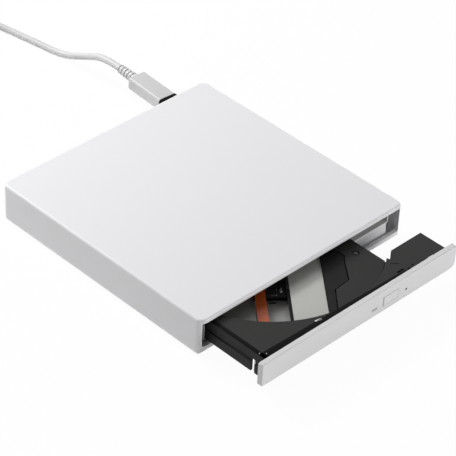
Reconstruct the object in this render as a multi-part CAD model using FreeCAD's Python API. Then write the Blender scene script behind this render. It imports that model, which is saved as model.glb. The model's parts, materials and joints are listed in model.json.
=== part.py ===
import FreeCAD, Part
import math
import os
from FreeCAD import Vector

# External DVD drive with its tray part open, in millimetres.
# +X runs right along the front, +Y runs to the back, +Z is up, and the front faces -Y.
# The origin is on the surface that the feet stand on, under the middle of the case
# with the tray as far out as it is here.

# Case
case_w = 141.0
case_d = 146.0
case_h = 22.4
wall = 2.0
floor_t = 1.8
case_corner_r = 4.0
top_edge_r = 1.4
bottom_edge_r = 3.0
under_front_r = 6.0
lip_t = 0.9
lip_h = 2.0
lip_start = 6.0
shell_gap = 0.1
foot_h = 0.8
foot_r = 5.0
foot_recess = 0.4
foot_inset = 14.0
boss_r = 2.9
boss_front = 22.0
boss_back_in = 3.75
boss_split = 4.0
pilot_h = 8.0
case_screw_r = 0.8
case_screw_head_r = 1.4
case_screw_head_h = 1.1
case_screw_up = 9.5
screw_sink = 0.3
screw_clear = 0.15
pad_w = 6.0
pad_l = 24.0
pad_side = 14.0
pad_in = 28.0
pad_h = 1.1
plug_hole_w = 12.4
plug_hole_h = 9.2
rib_t = 1.6
rib_in = 16.0
shelf_wall = 1.4
post_r = 2.2
drive_post_r = 2.6
pilot_r = 0.8

# How far the bezel's face stands out of the case here
tray_out = 38.6

# Drive inside the case, a little left of its middle
drive_mid = -1.0
side_room = 4.2
back_room = 16.4
drive_h = 12.7
drive_gap = 0.6
drive_lift = 0.1
sheet = 0.5
wing_up = 5.4
cover_screw_r = 0.9
cover_screw_head_r = 1.7
cover_screw_head_h = 0.6
tab_l = 6.0
tab_in = 12.0
drive_screw_left = 19.3
drive_screw_right = 8.0
drive_screw_in = 5.0
panel_in = 24.0
panel_lines = (30.0, 84.0)

# Bezel
bezel_x = -0.55
bezel_side = 5.1
bezel_h = 13.2
bezel_t = 3.0
bezel_lift = 0.2
bezel_edge_r = 0.7
bezel_left_corner_r = 1.2
bezel_right_corner_r = 3.4
bezel_top_corner_r = 1.0
opening_gap = 0.5
opening_depth = 4.0
button_x = 19.4
button_drop = 0.45
button_w = 10.5
button_h = 5.3
button_gap = 0.25
button_proud = 0.3
button_travel = 0.6
button_flange = 1.0
flange_t = 0.8
button_stem_r = 1.2
lens_x = 8.1
lens_w = 3.8
lens_h = 1.7
lens_drop = 2.0
pin_hole_x = 30.7
pin_hole_r = 0.75
pin_hole_drop = 1.25
hook_places = (-52.0, -30.0, 2.0, 52.0)
hook_half = 2.0
switch_back = 5.2
switch_board_left = 4.0
bracket_t = 0.8
bracket_in = 6.2
bracket_w = 9.0

# Tray
pan_clear = 0.3
deep_clear = 0.5
tray_share = 0.6
wing_len = 17.0
wing_root = ((5.8, 16.95), (3.9, 15.55), (3.5, 14.35), (0.0, 12.75))
wing_drop = 1.4
wing_wall = 1.5
tray_short = 9.0
tray_wall = 1.3
ledge = 0.7
ledge_up = 5.3
tray_top_drop = 1.1
tray_floor_gap = 0.2
deck_t = 1.5
front_gap = 0.8
front_gap_depth = 1.0
recess_depth = 2.6
recess_rim = 3.8
recess_front = 5.5
recess_bevel = 0.45
recess_groove = 0.5
spindle_x = -1.3
window_gap = 0.7
seam_cut = 0.5
side_start = 8.4
corner_block_w = 2.4
corner_block_l = 6.0
cover_up = 1.3
post_side_r = 2.0

# Seam between the deck and the laser unit, from the tray's front and then from the spindle:
# place, and how a gap moves it
window_front = ((-80.0, -4.0, 0, 0), (-17.3, -4.0, -1, 0), (0.9, 16.2, -1, 1), (11.2, 16.9, -1, 1),
                (20.8, 29.2, -1, 0.5), (23.2, 31.4, -1, 0.3), (23.2, 38.0, -1, 0))
window_back = ((20.5, -17.0, -1, 0), (20.5, 21.0, -1, -1), (5.0, 29.0, 0, -1), (-80.0, 29.0, 0, -1))

# Slots in the deck near the bezel: place from the tray's front, half width, half depth
deck_slots = ((32.4, 3.15, 2.3, 0.5), (36.9, 1.75, 0.6, 0.45), (40.4, 2.45, 0.8, 0.3))
deck_slit = ((32.5, 10.05), (34.2, 9.25), (35.9, 7.4))
slit_w = 0.45
slit_depth = 0.6
cover_posts_back = ((-44.0, 9.0), (24.0, 9.0), (-10.0, 7.0))
cover_posts_front = ((24.0, 22.0),)
deck_screws_front = ((28.8, 29.25),)
deck_screws_back = ((27.5, 29.0), (-30.0, 13.0))
deck_screw_r = 0.7
deck_screw_head_r = 1.1
deck_screw_bore_r = 1.9
deck_screw_sink = 0.6

# Telescopic rails
guide_w = 4.5
guide_wall = 0.8
guide_h = 4.6
guide_start = 14.0
guide_short = 28.0
rail_gap = 0.4
slide_gap = 0.1
slide_wall = 0.6
slide_short = 24.0
slide_start = 3.0
rib_w = 1.1
rib_start = 14.0
rib_short = 5.0

# Latch at the front of the tray, and the pin in the pan that it hooks
latch_pin_x = 20.0
latch_pin_r = 0.9
latch_pin_in = 7.0
latch_pivot_x = 15.0
latch_pivot_in = 20.0
latch_pivot_r = 0.8
latch_gap = 0.05
latch_t = 0.6

# Laser unit, set at an angle across the tray; its places are for a recess of this radius
unit_angle = 230.0
unit_recess_r = 60.5
base_t = 1.0
base_in = 2.0
frame_l = 27.0
frame_w = 6.2
damper_h = 1.3
damper_r = 3.0
damper_spots = ((59.15, -19.2), (37.35, 35.6), (-24.35, -23.9), (-22.75, 13.2))
slot_left = -8.2
slot_right = 8.3
slot_end = 63.45
rod_r = 1.0
rod_gap = 0.05
rod_left = -12.7
rod_right = 12.3
rod_start = 14.15
rod_end = 66.75
holder_l = 1.6
sled_in = 20.05
sled_out = 34.05
sled_skin = 0.15
nut_in = 24.55
nut_l = 4.4
lens_radius = 26.5
lens_block_left = -2.35
lens_block_right = 4.2
lens_block_l = 7.0
lens_block_h = 1.3
lens_play = 0.4
lens_r = 1.9
plate_left = 9.4
plate_right = 26.5
plate_t = 0.8
plate_in = 4.0
plate_up = 1.4
plate_legs = (11.55, 49.55)
hood_t = 1.2
hood_legs = ((37.55, 28.3), (23.55, 29.8))
flex_w = 5.3
flex_t = 0.2
flex_up = 0.75
flex_right = -2.45
flex_in = 31.0
flex_out = 62.35
lead_r = 1.2
lead_core_r = 0.72
lead_offset = 17.8
lead_in = 19.55
lead_out = 62.35
motor_r = 2.9
motor_l = 11.0
motor_gap = 0.4
rotor_r = 13.4
stator_r = 12.5
stator_flange_r = 14.6
shaft_r = 1.0
shaft_gap = 0.05
hub_r = 7.45
hub_h = 1.5
hub_ball_r = 1.2
hub_ball_ring = 6.15
pad_ring_in = 10.4
pad_ring_t = 0.5
disc_lift = 1.0
tray_cover_t = 0.4
tray_cover_start = 3.6

# Electronics
board_t = 1.2
logic_left = 27.3
logic_right = 14.5
logic_d = 8.5
logic_back = 0.4
chip_spots = ((2.0, 5.0, 2.4, 1.2), (30.0, 8.0, 2.6, 1.0), (42.0, 3.0, 1.5, 0.9), (47.0, 3.0, 1.5, 0.9))
band_w = 14.0
band_x = -22.0
band_t = 0.15
band_gap = 0.1
band_turn = 67.0
band_short = 5.0
band_leg = 12.0
connector_left = -14.0
connector_w = 40.0
connector_h = 4.6
connector_deep = 15.5
usb_in = 20.5
board_side = 11.5
board_post_left = 4.0
board_post_right = 14.0
usb_drop = 7.7
socket_w = 7.7
socket_h = 3.9
socket_l = 9.2
socket_wall = 0.35

# Cable and plugs
cable_r = 2.0
plug_w = 11.5
plug_h = 7.6
plug_l = 29.5
plug_side = 0.4
plug_up = 0.7
plug_stand = 2.4
plug_turn = 4.0
plug_edge_r = 1.6
plug_pocket = 1.5
plug_shell_w = 6.8
plug_shell_h = 3.1
plug_shell_t = 0.3
plug_shell_in = 6.4
relief_l = 13.0
relief_ribs = 5
relief_r = 3.0
coil_out_r = 23.5
coil_pitch = 4.6
coil_turns = 1.25
coil_tuck = 1.8
coil_x = 5.0
coil_y = 251.0
coil_start = 30.0
coil_tail = 20.0
layer_gap = 0.5
tie_t = 0.6
tie_w = 4.0
tie_clear = 0.35
tie_angle = 200.0
usb_a_w = 16.0
usb_a_h = 8.0
usb_a_l = 28.0
usb_a_relief = 9.0
usb_a_shell_w = 12.0
usb_a_shell_h = 4.5
usb_a_shell_l = 18.7
usb_a_shell_t = 0.35
usb_a_tongue_w = 10.8
usb_a_tongue_t = 1.8

# Pusher that starts the tray on its way out
pusher_in = 15.3
pusher_z_up = 4.0
pusher_r = 1.3
pusher_gap = 0.05
pusher_short = 5.4
pusher_stand = 0.4
sleeve_wall = 0.6
sleeve_short = 98.6

# Places that follow from the sizes
front_y = (tray_out + button_proud - case_d) / 2
back_y = front_y + case_d
half_w = case_w / 2
case_z = foot_h
top_z = case_z + case_h
floor_z = case_z + floor_t
roof_z = top_z - wall
inner_x = half_w - wall
inner_back = back_y - wall

drive_w = case_w - 2 * (wall + side_room)
drive_left = drive_mid - drive_w / 2
drive_right = drive_mid + drive_w / 2
drive_front = front_y + bezel_t + drive_gap
drive_back = back_y - back_room
drive_top = roof_z - pad_h
drive_z = drive_top - drive_h
pan_top = drive_top - sheet
pan_floor = drive_z + sheet
wing_z = drive_z + wing_up
wing_floor = wing_z + sheet

bezel_w = case_w - bezel_side
bezel_left = bezel_x - bezel_w / 2
bezel_right = bezel_x + bezel_w / 2
bezel_front = front_y - tray_out
tray_y = bezel_front + bezel_t
bezel_z = drive_z - drive_lift
seam_z = bezel_z - bezel_lift
bezel_top = bezel_z + bezel_h
bezel_mid = bezel_z + bezel_h / 2
button_z = bezel_mid - button_drop
lens_z = bezel_mid - lens_drop
pin_hole_z = bezel_mid - pin_hole_drop
board_y = tray_y + switch_back

recess_r = drive_w / 2 - recess_rim
unit_scale = recess_r / unit_recess_r
spindle_y = bezel_front + recess_front + recess_r
window_r = recess_r - window_gap
base_r = recess_r - base_in
tray_len = drive_back - drive_front - tray_short
tray_back = tray_y + tray_len
tray_left = drive_left + sheet + pan_clear
tray_right = spindle_x + recess_r * tray_share
wing_right = drive_right - sheet - pan_clear
deep_right = tray_right + deep_clear + sheet
left_rail = tray_left + tray_wall + rail_gap + guide_w / 2
right_rail = tray_right - tray_wall - rail_gap - guide_w / 2

deck_top = bezel_top - tray_top_drop
recess_z = deck_top - recess_depth
deck_z = recess_z - deck_t
tray_z = pan_floor + tray_floor_gap
ledge_z = tray_z + ledge_up
wing_under = deck_z - wing_drop
base_top = deck_z - damper_h
base_z = base_top - base_t
tray_cover_z = tray_z + cover_up
tray_cover_top = tray_cover_z + tray_cover_t
rod_z = (tray_cover_top + base_z) / 2
disc_z = recess_z + disc_lift
lens_block_z = base_top - 0.4
motor_in = lead_in - motor_l - 1.0
latch_z = tray_cover_z - latch_t - latch_gap
latch_pivot_y = tray_y + latch_pivot_in
latch_pin_y = front_y + bezel_t + latch_pin_in

usb_x = inner_x - usb_in
usb_z = top_z - usb_drop
bridge_z = usb_z - socket_h / 2 - board_t
bridge_y = drive_back + 2.8
plug_x = usb_x + plug_side
plug_z = usb_z + plug_up
plug_face = back_y + plug_stand
plug_back = plug_face + plug_l
relief_back = plug_back + relief_l
logic_x = drive_left + logic_left
logic_y = drive_back - logic_d
logic_z = pan_floor + board_t
pusher_x = drive_left + pusher_in
sleeve_l = drive_back - drive_front - sleeve_short
pusher_l = sleeve_l - pusher_short
sleeve_front = drive_back - sheet - sleeve_l
stop_y = sleeve_front - pusher_stand - 0.1 - tray_out
pusher_z = pan_floor + pusher_z_up

unit = math.radians(unit_angle)
along = Vector(math.cos(unit), math.sin(unit), 0)
across = Vector(-math.sin(unit), math.cos(unit), 0)


# Small building blocks

def box(x0, x1, y0, y1, z0, z1):
    return Part.makeBox(x1 - x0, y1 - y0, z1 - z0, Vector(x0, y0, z0))


def rod(x, y, z, r, length, direction=Vector(0, 0, 1)):
    return Part.makeCylinder(r, length, Vector(x, y, z), direction)


def join(first, *rest):
    out = first
    for shape in rest:
        out = out.fuse(shape)
    return out.removeSplitter()


def cut(first, *rest):
    out = first
    for shape in rest:
        out = out.cut(shape)
    return out


def group(shapes):
    return Part.makeCompound(shapes)


def prism(points, z0, z1):
    corners = [Vector(x, y, z0) for x, y in points]
    face = Part.Face(Part.makePolygon(corners + corners[:1]))
    return face.extrude(Vector(0, 0, z1 - z0))


def edges_of(shape, test):
    return [edge for edge in shape.Edges if test(edge)]


def upright(edge):
    box_ = edge.BoundBox
    return box_.ZLength > 0.1 and box_.XLength < 0.01 and box_.YLength < 0.01


def at_height(z):
    return lambda edge: abs(edge.BoundBox.ZMin - z) < 0.01 and abs(edge.BoundBox.ZMax - z) < 0.01


def rounded_box(x0, x1, y0, y1, z0, z1, r_side, r_top, r_bottom):
    out = box(x0, x1, y0, y1, z0, z1)
    out = out.makeFillet(r_side, edges_of(out, upright))
    if r_top > 0:
        out = out.makeFillet(r_top, edges_of(out, at_height(z1)))
    if r_bottom > 0:
        out = out.makeFillet(r_bottom, edges_of(out, at_height(z0)))
    return out


def under_round(y0, z0, r, reach, width, height):
    # the block that keeps the rounding under the front edge
    a = Vector(-width, y0, z0 + r)
    b = Vector(-width, y0 + r * (1 - math.sqrt(0.5)), z0 + r * (1 - math.sqrt(0.5)))
    c = Vector(-width, y0 + r, z0)
    d = Vector(-width, y0 + reach, z0)
    e = Vector(-width, y0 + reach, z0 + height)
    f = Vector(-width, y0, z0 + height)
    edges = [Part.Arc(a, b, c).toShape()]
    for start, end in ((c, d), (d, e), (e, f), (f, a)):
        edges.append(Part.LineSegment(start, end).toShape())
    return Part.Face(Part.Wire(edges)).extrude(Vector(2 * width, 0, 0))


def unit_point(s, offset, z):
    # a place on the laser unit: s runs out from the spindle, offset runs to the right of it
    place = (along * s + across * offset) * unit_scale
    return Vector(spindle_x + place.x, spindle_y + place.y, z)


def unit_box(s0, s1, o0, o1, z0, z1):
    corners = [unit_point(s, o, z0) for s, o in ((s0, o0), (s1, o0), (s1, o1), (s0, o1))]
    face = Part.Face(Part.makePolygon(corners + corners[:1]))
    return face.extrude(Vector(0, 0, z1 - z0))


def unit_rod(s0, s1, offset, z, r):
    return Part.makeCylinder(r, (s1 - s0) * unit_scale, unit_point(s0, offset, z), along)


def spindle_rod(r, z, height):
    return rod(spindle_x, spindle_y, z, r, height)


# Case shells

def case_outer():
    block = rounded_box(-half_w, half_w, front_y, back_y, case_z, top_z,
                        case_corner_r, top_edge_r, bottom_edge_r)
    return block.common(under_round(front_y, case_z, under_front_r, case_d, case_w, case_h))


def case_inner():
    inner_r = max(case_corner_r - wall, 0.5)
    low_r = max(bottom_edge_r - wall, 0.4)
    block = rounded_box(-inner_x, inner_x, front_y + wall, inner_back, floor_z, roof_z, inner_r, 0, low_r)
    under_r = max(under_front_r - wall, 0.5)
    return block.common(under_round(front_y + wall, floor_z, under_r, case_d, case_w, case_h))


def bosses():
    # behind the drive, and in front between its sides and the case wall: place and radius
    x = inner_x - boss_back_in
    y = (drive_back + inner_back) / 2
    left_r = min(boss_r, (inner_x + drive_left) / 2 - shell_gap)
    right_r = min(boss_r, (inner_x - drive_right) / 2 - shell_gap)
    return [(-x, y, boss_r), (x, y, boss_r),
            (-inner_x + left_r + shell_gap, front_y + boss_front, left_r),
            (inner_x - right_r - shell_gap, front_y + boss_front, right_r)]


def top_shell():
    shell = case_outer().cut(case_inner())
    shell = shell.common(box(-case_w, case_w, front_y - 1, back_y + 1, seam_z, top_z + 1))
    opening = box(bezel_left - opening_gap, bezel_right + opening_gap, front_y - 1, front_y + opening_depth,
                  seam_z - 1, roof_z)
    plug_hole = box(usb_x - plug_hole_w / 2, usb_x + plug_hole_w / 2, inner_back - 1, back_y + 1,
                    usb_z - plug_hole_h / 2, usb_z + plug_hole_h / 2)
    shell = cut(shell, opening, plug_hole)
    split_z = seam_z + boss_split
    for x, y, r in bosses():
        boss = rod(x, y, split_z, r, roof_z - split_z + 0.1)
        shell = shell.fuse(boss).cut(rod(x, y, split_z - 0.1, case_screw_r, pilot_h))
    return shell.removeSplitter()


def bottom_shell():
    shell = case_outer().cut(case_inner())
    shell = shell.common(box(-case_w, case_w, front_y - 1, back_y + 1, case_z - 1, seam_z))
    # tongue that centres the top shell, left off along the front
    tongue_r = max(case_corner_r - wall - shell_gap, 0.4)
    x = inner_x - shell_gap
    y = inner_back - shell_gap
    y0 = front_y + wall + lip_start
    low = box(-inner_x - 0.3, inner_x + 0.3, y0, inner_back + 0.3, seam_z - 1.5, seam_z)
    high = rounded_box(-x, x, y0, y, seam_z - 0.5, seam_z + lip_h, tongue_r, 0, 0)
    ring = low.fuse(high)
    ring_in = box(-x + lip_t, x - lip_t, front_y, y - lip_t, seam_z - 2.0, seam_z + lip_h + 1)
    plug_room = box(usb_x - plug_hole_w / 2 - 0.8, usb_x + plug_hole_w / 2 + 0.8, inner_back - 4, back_y,
                    seam_z, seam_z + lip_h + 1)
    ring = ring.cut(ring_in).cut(plug_room)
    shell = join(shell, ring.common(box(-half_w + 0.5, half_w - 0.5, front_y, back_y - 0.5, case_z, top_z)))
    # cradle ribs under the deep part of the drive
    low_z = floor_z - 0.3
    for y in (drive_front + rib_in, (drive_front + drive_back) / 2, drive_back - rib_in):
        shell = shell.fuse(box(drive_left + 4, deep_right - 4, y - rib_t / 2, y + rib_t / 2, low_z, drive_z))
    # shelf under the shallow wing of the drive
    x0 = deep_right + 1.5
    x1 = drive_right - 1.0
    y1 = drive_back - 8
    shelf = box(x0, x1, drive_front, y1, low_z, wing_z)
    hollow = box(x0 + shelf_wall, x1 - shelf_wall, drive_front + shelf_wall, y1 - shelf_wall, low_z, wing_z - shelf_wall)
    shell = shell.fuse(shelf.cut(hollow))
    # posts for the bridge board and the drive's two screws
    for x, y in board_posts():
        shell = shell.fuse(rod(x, y, low_z, post_r, bridge_z - low_z))
    for x, y in drive_screw_places():
        shell = shell.fuse(rod(x, y, low_z, drive_post_r, drive_z - low_z))
    for x, y in board_posts():
        shell = shell.cut(rod(x, y, bridge_z - 4.0, pilot_r, 5.0))
    for x, y in drive_screw_places():
        shell = shell.cut(rod(x, y, drive_z - 3.6, pilot_r, 5.0))
    # bosses that take the case screws from below
    for x, y, r in bosses():
        shell = shell.fuse(rod(x, y, low_z, r, seam_z + boss_split - low_z))
        shell = shell.cut(rod(x, y, case_z - 1, case_screw_r + screw_clear, case_h))
        shell = shell.cut(rod(x, y, case_z - 1, case_screw_head_r + screw_clear,
                              screw_sink + case_screw_head_h + 1))
    for x, y in foot_places():
        shell = shell.cut(rod(x, y, case_z - 1, foot_r + 0.1, 1 + foot_recess))
    return shell.removeSplitter()


def foot_places():
    x = half_w - foot_inset
    return [(-x, front_y + foot_inset + 3), (x, front_y + foot_inset + 3),
            (-x, back_y - foot_inset), (x, back_y - foot_inset)]


def rubber_feet():
    feet = []
    for x, y in foot_places():
        foot = rod(x, y, 0, foot_r, foot_h + foot_recess)
        feet.append(foot.makeChamfer(0.3, [edge for edge in foot.Edges if at_height(0)(edge)]))
    return group(feet)


def case_screws():
    screws = []
    for x, y, r in bosses():
        head = rod(x, y, case_z + screw_sink, case_screw_head_r, case_screw_head_h)
        shank_z = case_z + screw_sink + case_screw_head_h
        shank = rod(x, y, shank_z, case_screw_r, seam_z + case_screw_up - shank_z)
        slot = join(box(x - 1.0, x + 1.0, y - 0.25, y + 0.25, case_z, case_z + screw_sink + 0.7),
                    box(x - 0.25, x + 0.25, y - 1.0, y + 1.0, case_z, case_z + screw_sink + 0.7))
        screws.append(join(head, shank).cut(slot))
    return group(screws)


def foam_pads():
    pads = []
    for x in (drive_left + pad_side, drive_right - pad_side):
        for y in (drive_front + pad_in, drive_back - pad_in):
            pads.append(box(x - pad_w / 2, x + pad_w / 2, y - pad_l / 2, y + pad_l / 2, drive_top, roof_z))
    return group(pads)


# Drive housing

def drive_pan():
    deep_in = deep_right - sheet
    parts = [
        box(drive_left, deep_right, drive_front, drive_back, drive_z, pan_floor),
        box(drive_left, drive_left + sheet, drive_front, drive_back, drive_z, pan_top),
        box(deep_in, deep_right, drive_front, drive_back, drive_z, wing_floor),
        box(deep_in, drive_right, drive_front, drive_back, wing_z, wing_floor),
        box(drive_right - sheet, drive_right, drive_front, drive_back, wing_z, pan_top),
        box(drive_left, deep_right, drive_back - sheet, drive_back, drive_z, pan_top),
        box(deep_in, drive_right, drive_back - sheet, drive_back, wing_z, pan_top),
    ]
    for x in cover_tab_places():
        parts.append(box(x - tab_l / 2, x + tab_l / 2, drive_back - tab_l, drive_back, pan_top - sheet, pan_top))
    pan = join(*parts)
    for x in cover_tab_places():
        pan = pan.cut(rod(x, drive_back - tab_l / 2, pan_top - 2, cover_screw_r, 3))
    for x, y in drive_screw_places():
        pan = pan.cut(rod(x, y, drive_z - 1, 1.1, sheet + 2))
    pan = pan.cut(box(connector_left, connector_left + connector_w, drive_back - 2, drive_back + 1,
                      bridge_z - 1.4, bridge_z - 1.4 + connector_h))
    return join(pan, latch_pin())


def cover_tab_places():
    return [drive_left + tab_in, drive_mid, drive_right - tab_in]


def drive_screw_places():
    return [(drive_left + drive_screw_left, drive_back - drive_screw_in),
            (deep_right - drive_screw_right, drive_back - drive_screw_in)]


def drive_cover():
    sheet_top = box(drive_left, drive_right, drive_front, drive_back, pan_top, drive_top)
    for x in cover_tab_places():
        sheet_top = sheet_top.cut(rod(x, drive_back - tab_l / 2, pan_top - 1, cover_screw_r + 0.1, 3))
    # pressed-in panel lines
    for v in panel_lines:
        y = drive_front + v
        groove = box(drive_left + panel_in, drive_right - panel_in, y - 0.6, y + 0.6, drive_top - 0.2, drive_top + 1)
        sheet_top = sheet_top.cut(groove)
    return sheet_top


def cover_screws():
    screws = []
    for x in cover_tab_places():
        y = drive_back - tab_l / 2
        head = rod(x, y, drive_top, cover_screw_head_r, cover_screw_head_h)
        shank = rod(x, y, drive_top - 2.4, cover_screw_r, 2.4)
        slot = box(x - 1.1, x + 1.1, y - 0.2, y + 0.2, drive_top + 0.25, drive_top + 1)
        screws.append(join(head, shank).cut(slot))
    return group(screws)


def drive_screws():
    screws = []
    for x, y in drive_screw_places():
        head = rod(x, y, pan_floor, 1.9, 0.7)
        shank = rod(x, y, drive_z - 3.4, 0.8, pan_floor - drive_z + 3.4)
        screws.append(join(head, shank))
    return group(screws)


# Rails: a fixed guide, a slide that goes half as far as the tray, and the tray's own rib

def guide_rail(x):
    y0 = drive_front + guide_start
    y1 = drive_back - guide_short + guide_start
    outer = box(x - guide_w / 2, x + guide_w / 2, y0, y1, pan_floor, pan_floor + guide_h)
    inside = box(x - guide_w / 2 + guide_wall, x + guide_w / 2 - guide_wall, y0 - 1, y1 + 1,
                 pan_floor + guide_wall, pan_floor + guide_h + 1)
    return outer.cut(inside)


def slide_rail(x):
    half = guide_w / 2 - guide_wall - slide_gap
    y0 = drive_front + slide_start - tray_out / 2
    y1 = y0 + drive_back - drive_front - slide_short
    z0 = pan_floor + guide_wall + slide_gap
    z1 = pan_floor + guide_h - 0.3
    outer = box(x - half, x + half, y0, y1, z0, z1)
    inside = box(x - half + slide_wall, x + half - slide_wall, y0 - 1, y1 + 1, z0 + slide_wall, z1 + 1)
    return outer.cut(inside)


def tray_rib(x):
    half = guide_w / 2 - guide_wall - slide_gap - slide_wall - slide_gap
    half = min(half, rib_w / 2)
    z0 = pan_floor + guide_wall + slide_gap + slide_wall + 0.3
    return box(x - half, x + half, tray_y + rib_start, tray_back - rib_short, z0, deck_z + 0.2)


# Tray

def window_outline(gap):
    # the seam between the tray's deck and the laser unit's window, right side
    front = [(x + shift_x * gap, tray_y + v + shift_v * gap) for x, v, shift_x, shift_v in window_front]
    back = [(x + shift_x * gap, spindle_y + v * unit_scale + shift_v * gap)
            for x, v, shift_x, shift_v in window_back]
    return front + back


def wing_root_points():
    return [(tray_right + x, tray_y + v) for x, v in wing_root]


def tray_outline():
    left = tray_left + ledge
    return [(left, tray_y), (wing_right, tray_y), (wing_right, tray_y + wing_len)] + wing_root_points() + [
        (tray_right, tray_back), (left, tray_back)]


def wing_outline():
    x0 = tray_right - tray_wall
    return [(x0, tray_y), (wing_right, tray_y), (wing_right, tray_y + wing_len)] + wing_root_points() + [
        (x0, tray_y + wing_root[-1][1])]


def disc_recess():
    # round recess for a disc, with a bevelled rim and a groove round its floor
    bevel = Part.makeCone(recess_r, recess_r + recess_bevel + 1, recess_bevel + 1,
                          Vector(spindle_x, spindle_y, deck_top - recess_bevel))
    groove = spindle_rod(recess_r, recess_z - recess_groove, recess_groove + 0.1)
    groove = groove.cut(spindle_rod(window_r, recess_z - 1, 2))
    return [spindle_rod(recess_r, recess_z, recess_depth + 1), bevel, groove]


def slit_cut():
    # short bent slit in the deck beside the recess
    pieces = []
    z = deck_top - slit_depth
    for a, b in zip(deck_slit[:-1], deck_slit[1:]):
        start = Vector(a[0], tray_y + a[1], z)
        end = Vector(b[0], tray_y + b[1], z)
        side = Vector(start.y - end.y, end.x - start.x, 0).normalize() * (slit_w / 2)
        corners = [start + side, start - side, end - side, end + side]
        face = Part.Face(Part.makePolygon(corners + corners[:1]))
        pieces += [face.extrude(Vector(0, 0, slit_depth + 1)), rod(end.x, end.y, z, slit_w / 2, slit_depth + 1)]
    return pieces


def tray():
    body = prism(tray_outline(), deck_z, deck_top)
    window = spindle_rod(window_r, deck_z - 1, deck_t + 2)
    window = window.common(prism(window_outline(0.0), deck_z - 2, recess_z + 2))
    body = cut(body, window, *disc_recess())
    x0 = tray_left
    y0 = tray_y
    y1 = tray_back
    side0 = tray_y + side_start
    skirts = [
        box(x0, x0 + tray_wall, side0, y1, tray_z, ledge_z),
        box(x0 + ledge, x0 + tray_wall, side0, y1, ledge_z, deck_z),
        box(tray_right - tray_wall, tray_right, y0, y1, tray_z, deck_z),
        box(x0 + ledge + 3, tray_right, y0, y0 + tray_wall, tray_z, deck_z),
        box(x0 + ledge, tray_right, y1 - tray_wall, y1, deck_z - 2.0, deck_z),
        box(x0, x0 + corner_block_w, y0, y0 + corner_block_l, tray_z, deck_top - 1.2),
        prism(wing_outline(), wing_under, deck_z),
        box(pusher_x - 2.2, pusher_x + 2.2, stop_y - 2.0, stop_y, pusher_z - 1.6, deck_z),
    ]
    for x in (left_rail, right_rail):
        skirts.append(tray_rib(x))
    for x, y in tray_cover_posts():
        skirts.append(rod(x, y, tray_cover_top, post_side_r, deck_z - tray_cover_top + 0.2))
    body = join(body, *skirts)
    # hollow under the wing, and the notch that lets the sleeve of the pusher in
    body = body.cut(box(tray_right + wing_root[0][0], wing_right - wing_wall, y0 + wing_wall,
                        tray_y + wing_len - wing_wall, wing_under - 1, deck_top - 1.7))
    body = body.cut(box(pusher_x - 2.6, pusher_x + 2.6, y1 - tray_wall - 1, y1 + 1, deck_z - 3, pusher_z + 2.4))
    # step in the left side above the ledge, and the gap behind the bezel's top edge
    body = body.cut(box(x0 - 1, x0 + ledge, y0, y1 + 1, ledge_z, deck_top + 1))
    body = body.cut(box(x0 - 1, wing_right + 1, y0 - 1, y0 + front_gap, deck_top - front_gap_depth, deck_top + 1))
    # room for the button, the status light and the pin hole
    half = button_w / 2 + button_flange + 0.6
    tall = button_h / 2 + button_flange + 0.75
    body = body.cut(box(button_x - half, button_x + half, y0 - 1, board_y, button_z - tall, button_z + tall))
    body = body.cut(box(lens_x - 2.6, lens_x + 2.6, y0 - 1, board_y, lens_z - 1.8, lens_z + 1.8))
    body = body.cut(rod(pin_hole_x, y0 - 1, pin_hole_z, pin_hole_r + 0.3, 6, Vector(0, 1, 0)))
    # slots in the deck by the bezel, and holes for the screws
    for x, v, half_x, half_y in deck_slots:
        y = tray_y + v
        body = body.cut(box(x - half_x, x + half_x, y - half_y, y + half_y, recess_z, deck_top + 1))
    body = cut(body, *slit_cut())
    for x, y in deck_screw_places():
        body = body.cut(rod(x, y, deck_z - 1, deck_screw_r, deck_t + 2))
        body = body.cut(rod(x, y, recess_z - deck_screw_sink, deck_screw_bore_r, deck_screw_sink + 0.1))
    for x, y in tray_cover_posts():
        body = body.cut(rod(x, y, tray_cover_z - 1, 0.7, 4.0))
    for x, y in damper_places():
        body = body.cut(rod(x, y, deck_z - 1, 0.7, 2.2))
    for x in hook_places:
        body = body.cut(box(x - hook_half - 0.2, x + hook_half + 0.2, y0 - 1, y0 + 1.4, deck_top - 0.9, deck_top + 1))
    return join(body, flex_clamp())


def tray_cover_posts():
    return [(x, tray_back - v) for x, v in cover_posts_back] + [(x, tray_y + v) for x, v in cover_posts_front]


def deck_screw_places():
    return [(x, tray_y + v) for x, v in deck_screws_front] + [(x, tray_back - v) for x, v in deck_screws_back]


def deck_screws():
    screws = []
    for x, y in deck_screw_places():
        seat = recess_z - deck_screw_sink
        head = rod(x, y, seat, deck_screw_head_r, 0.5)
        shank = rod(x, y, deck_z, deck_screw_r, seat - deck_z)
        slot = box(x - 0.8, x + 0.8, y - 0.18, y + 0.18, seat + 0.25, seat + 1)
        screws.append(join(head, shank).cut(slot))
    return group(screws)


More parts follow.
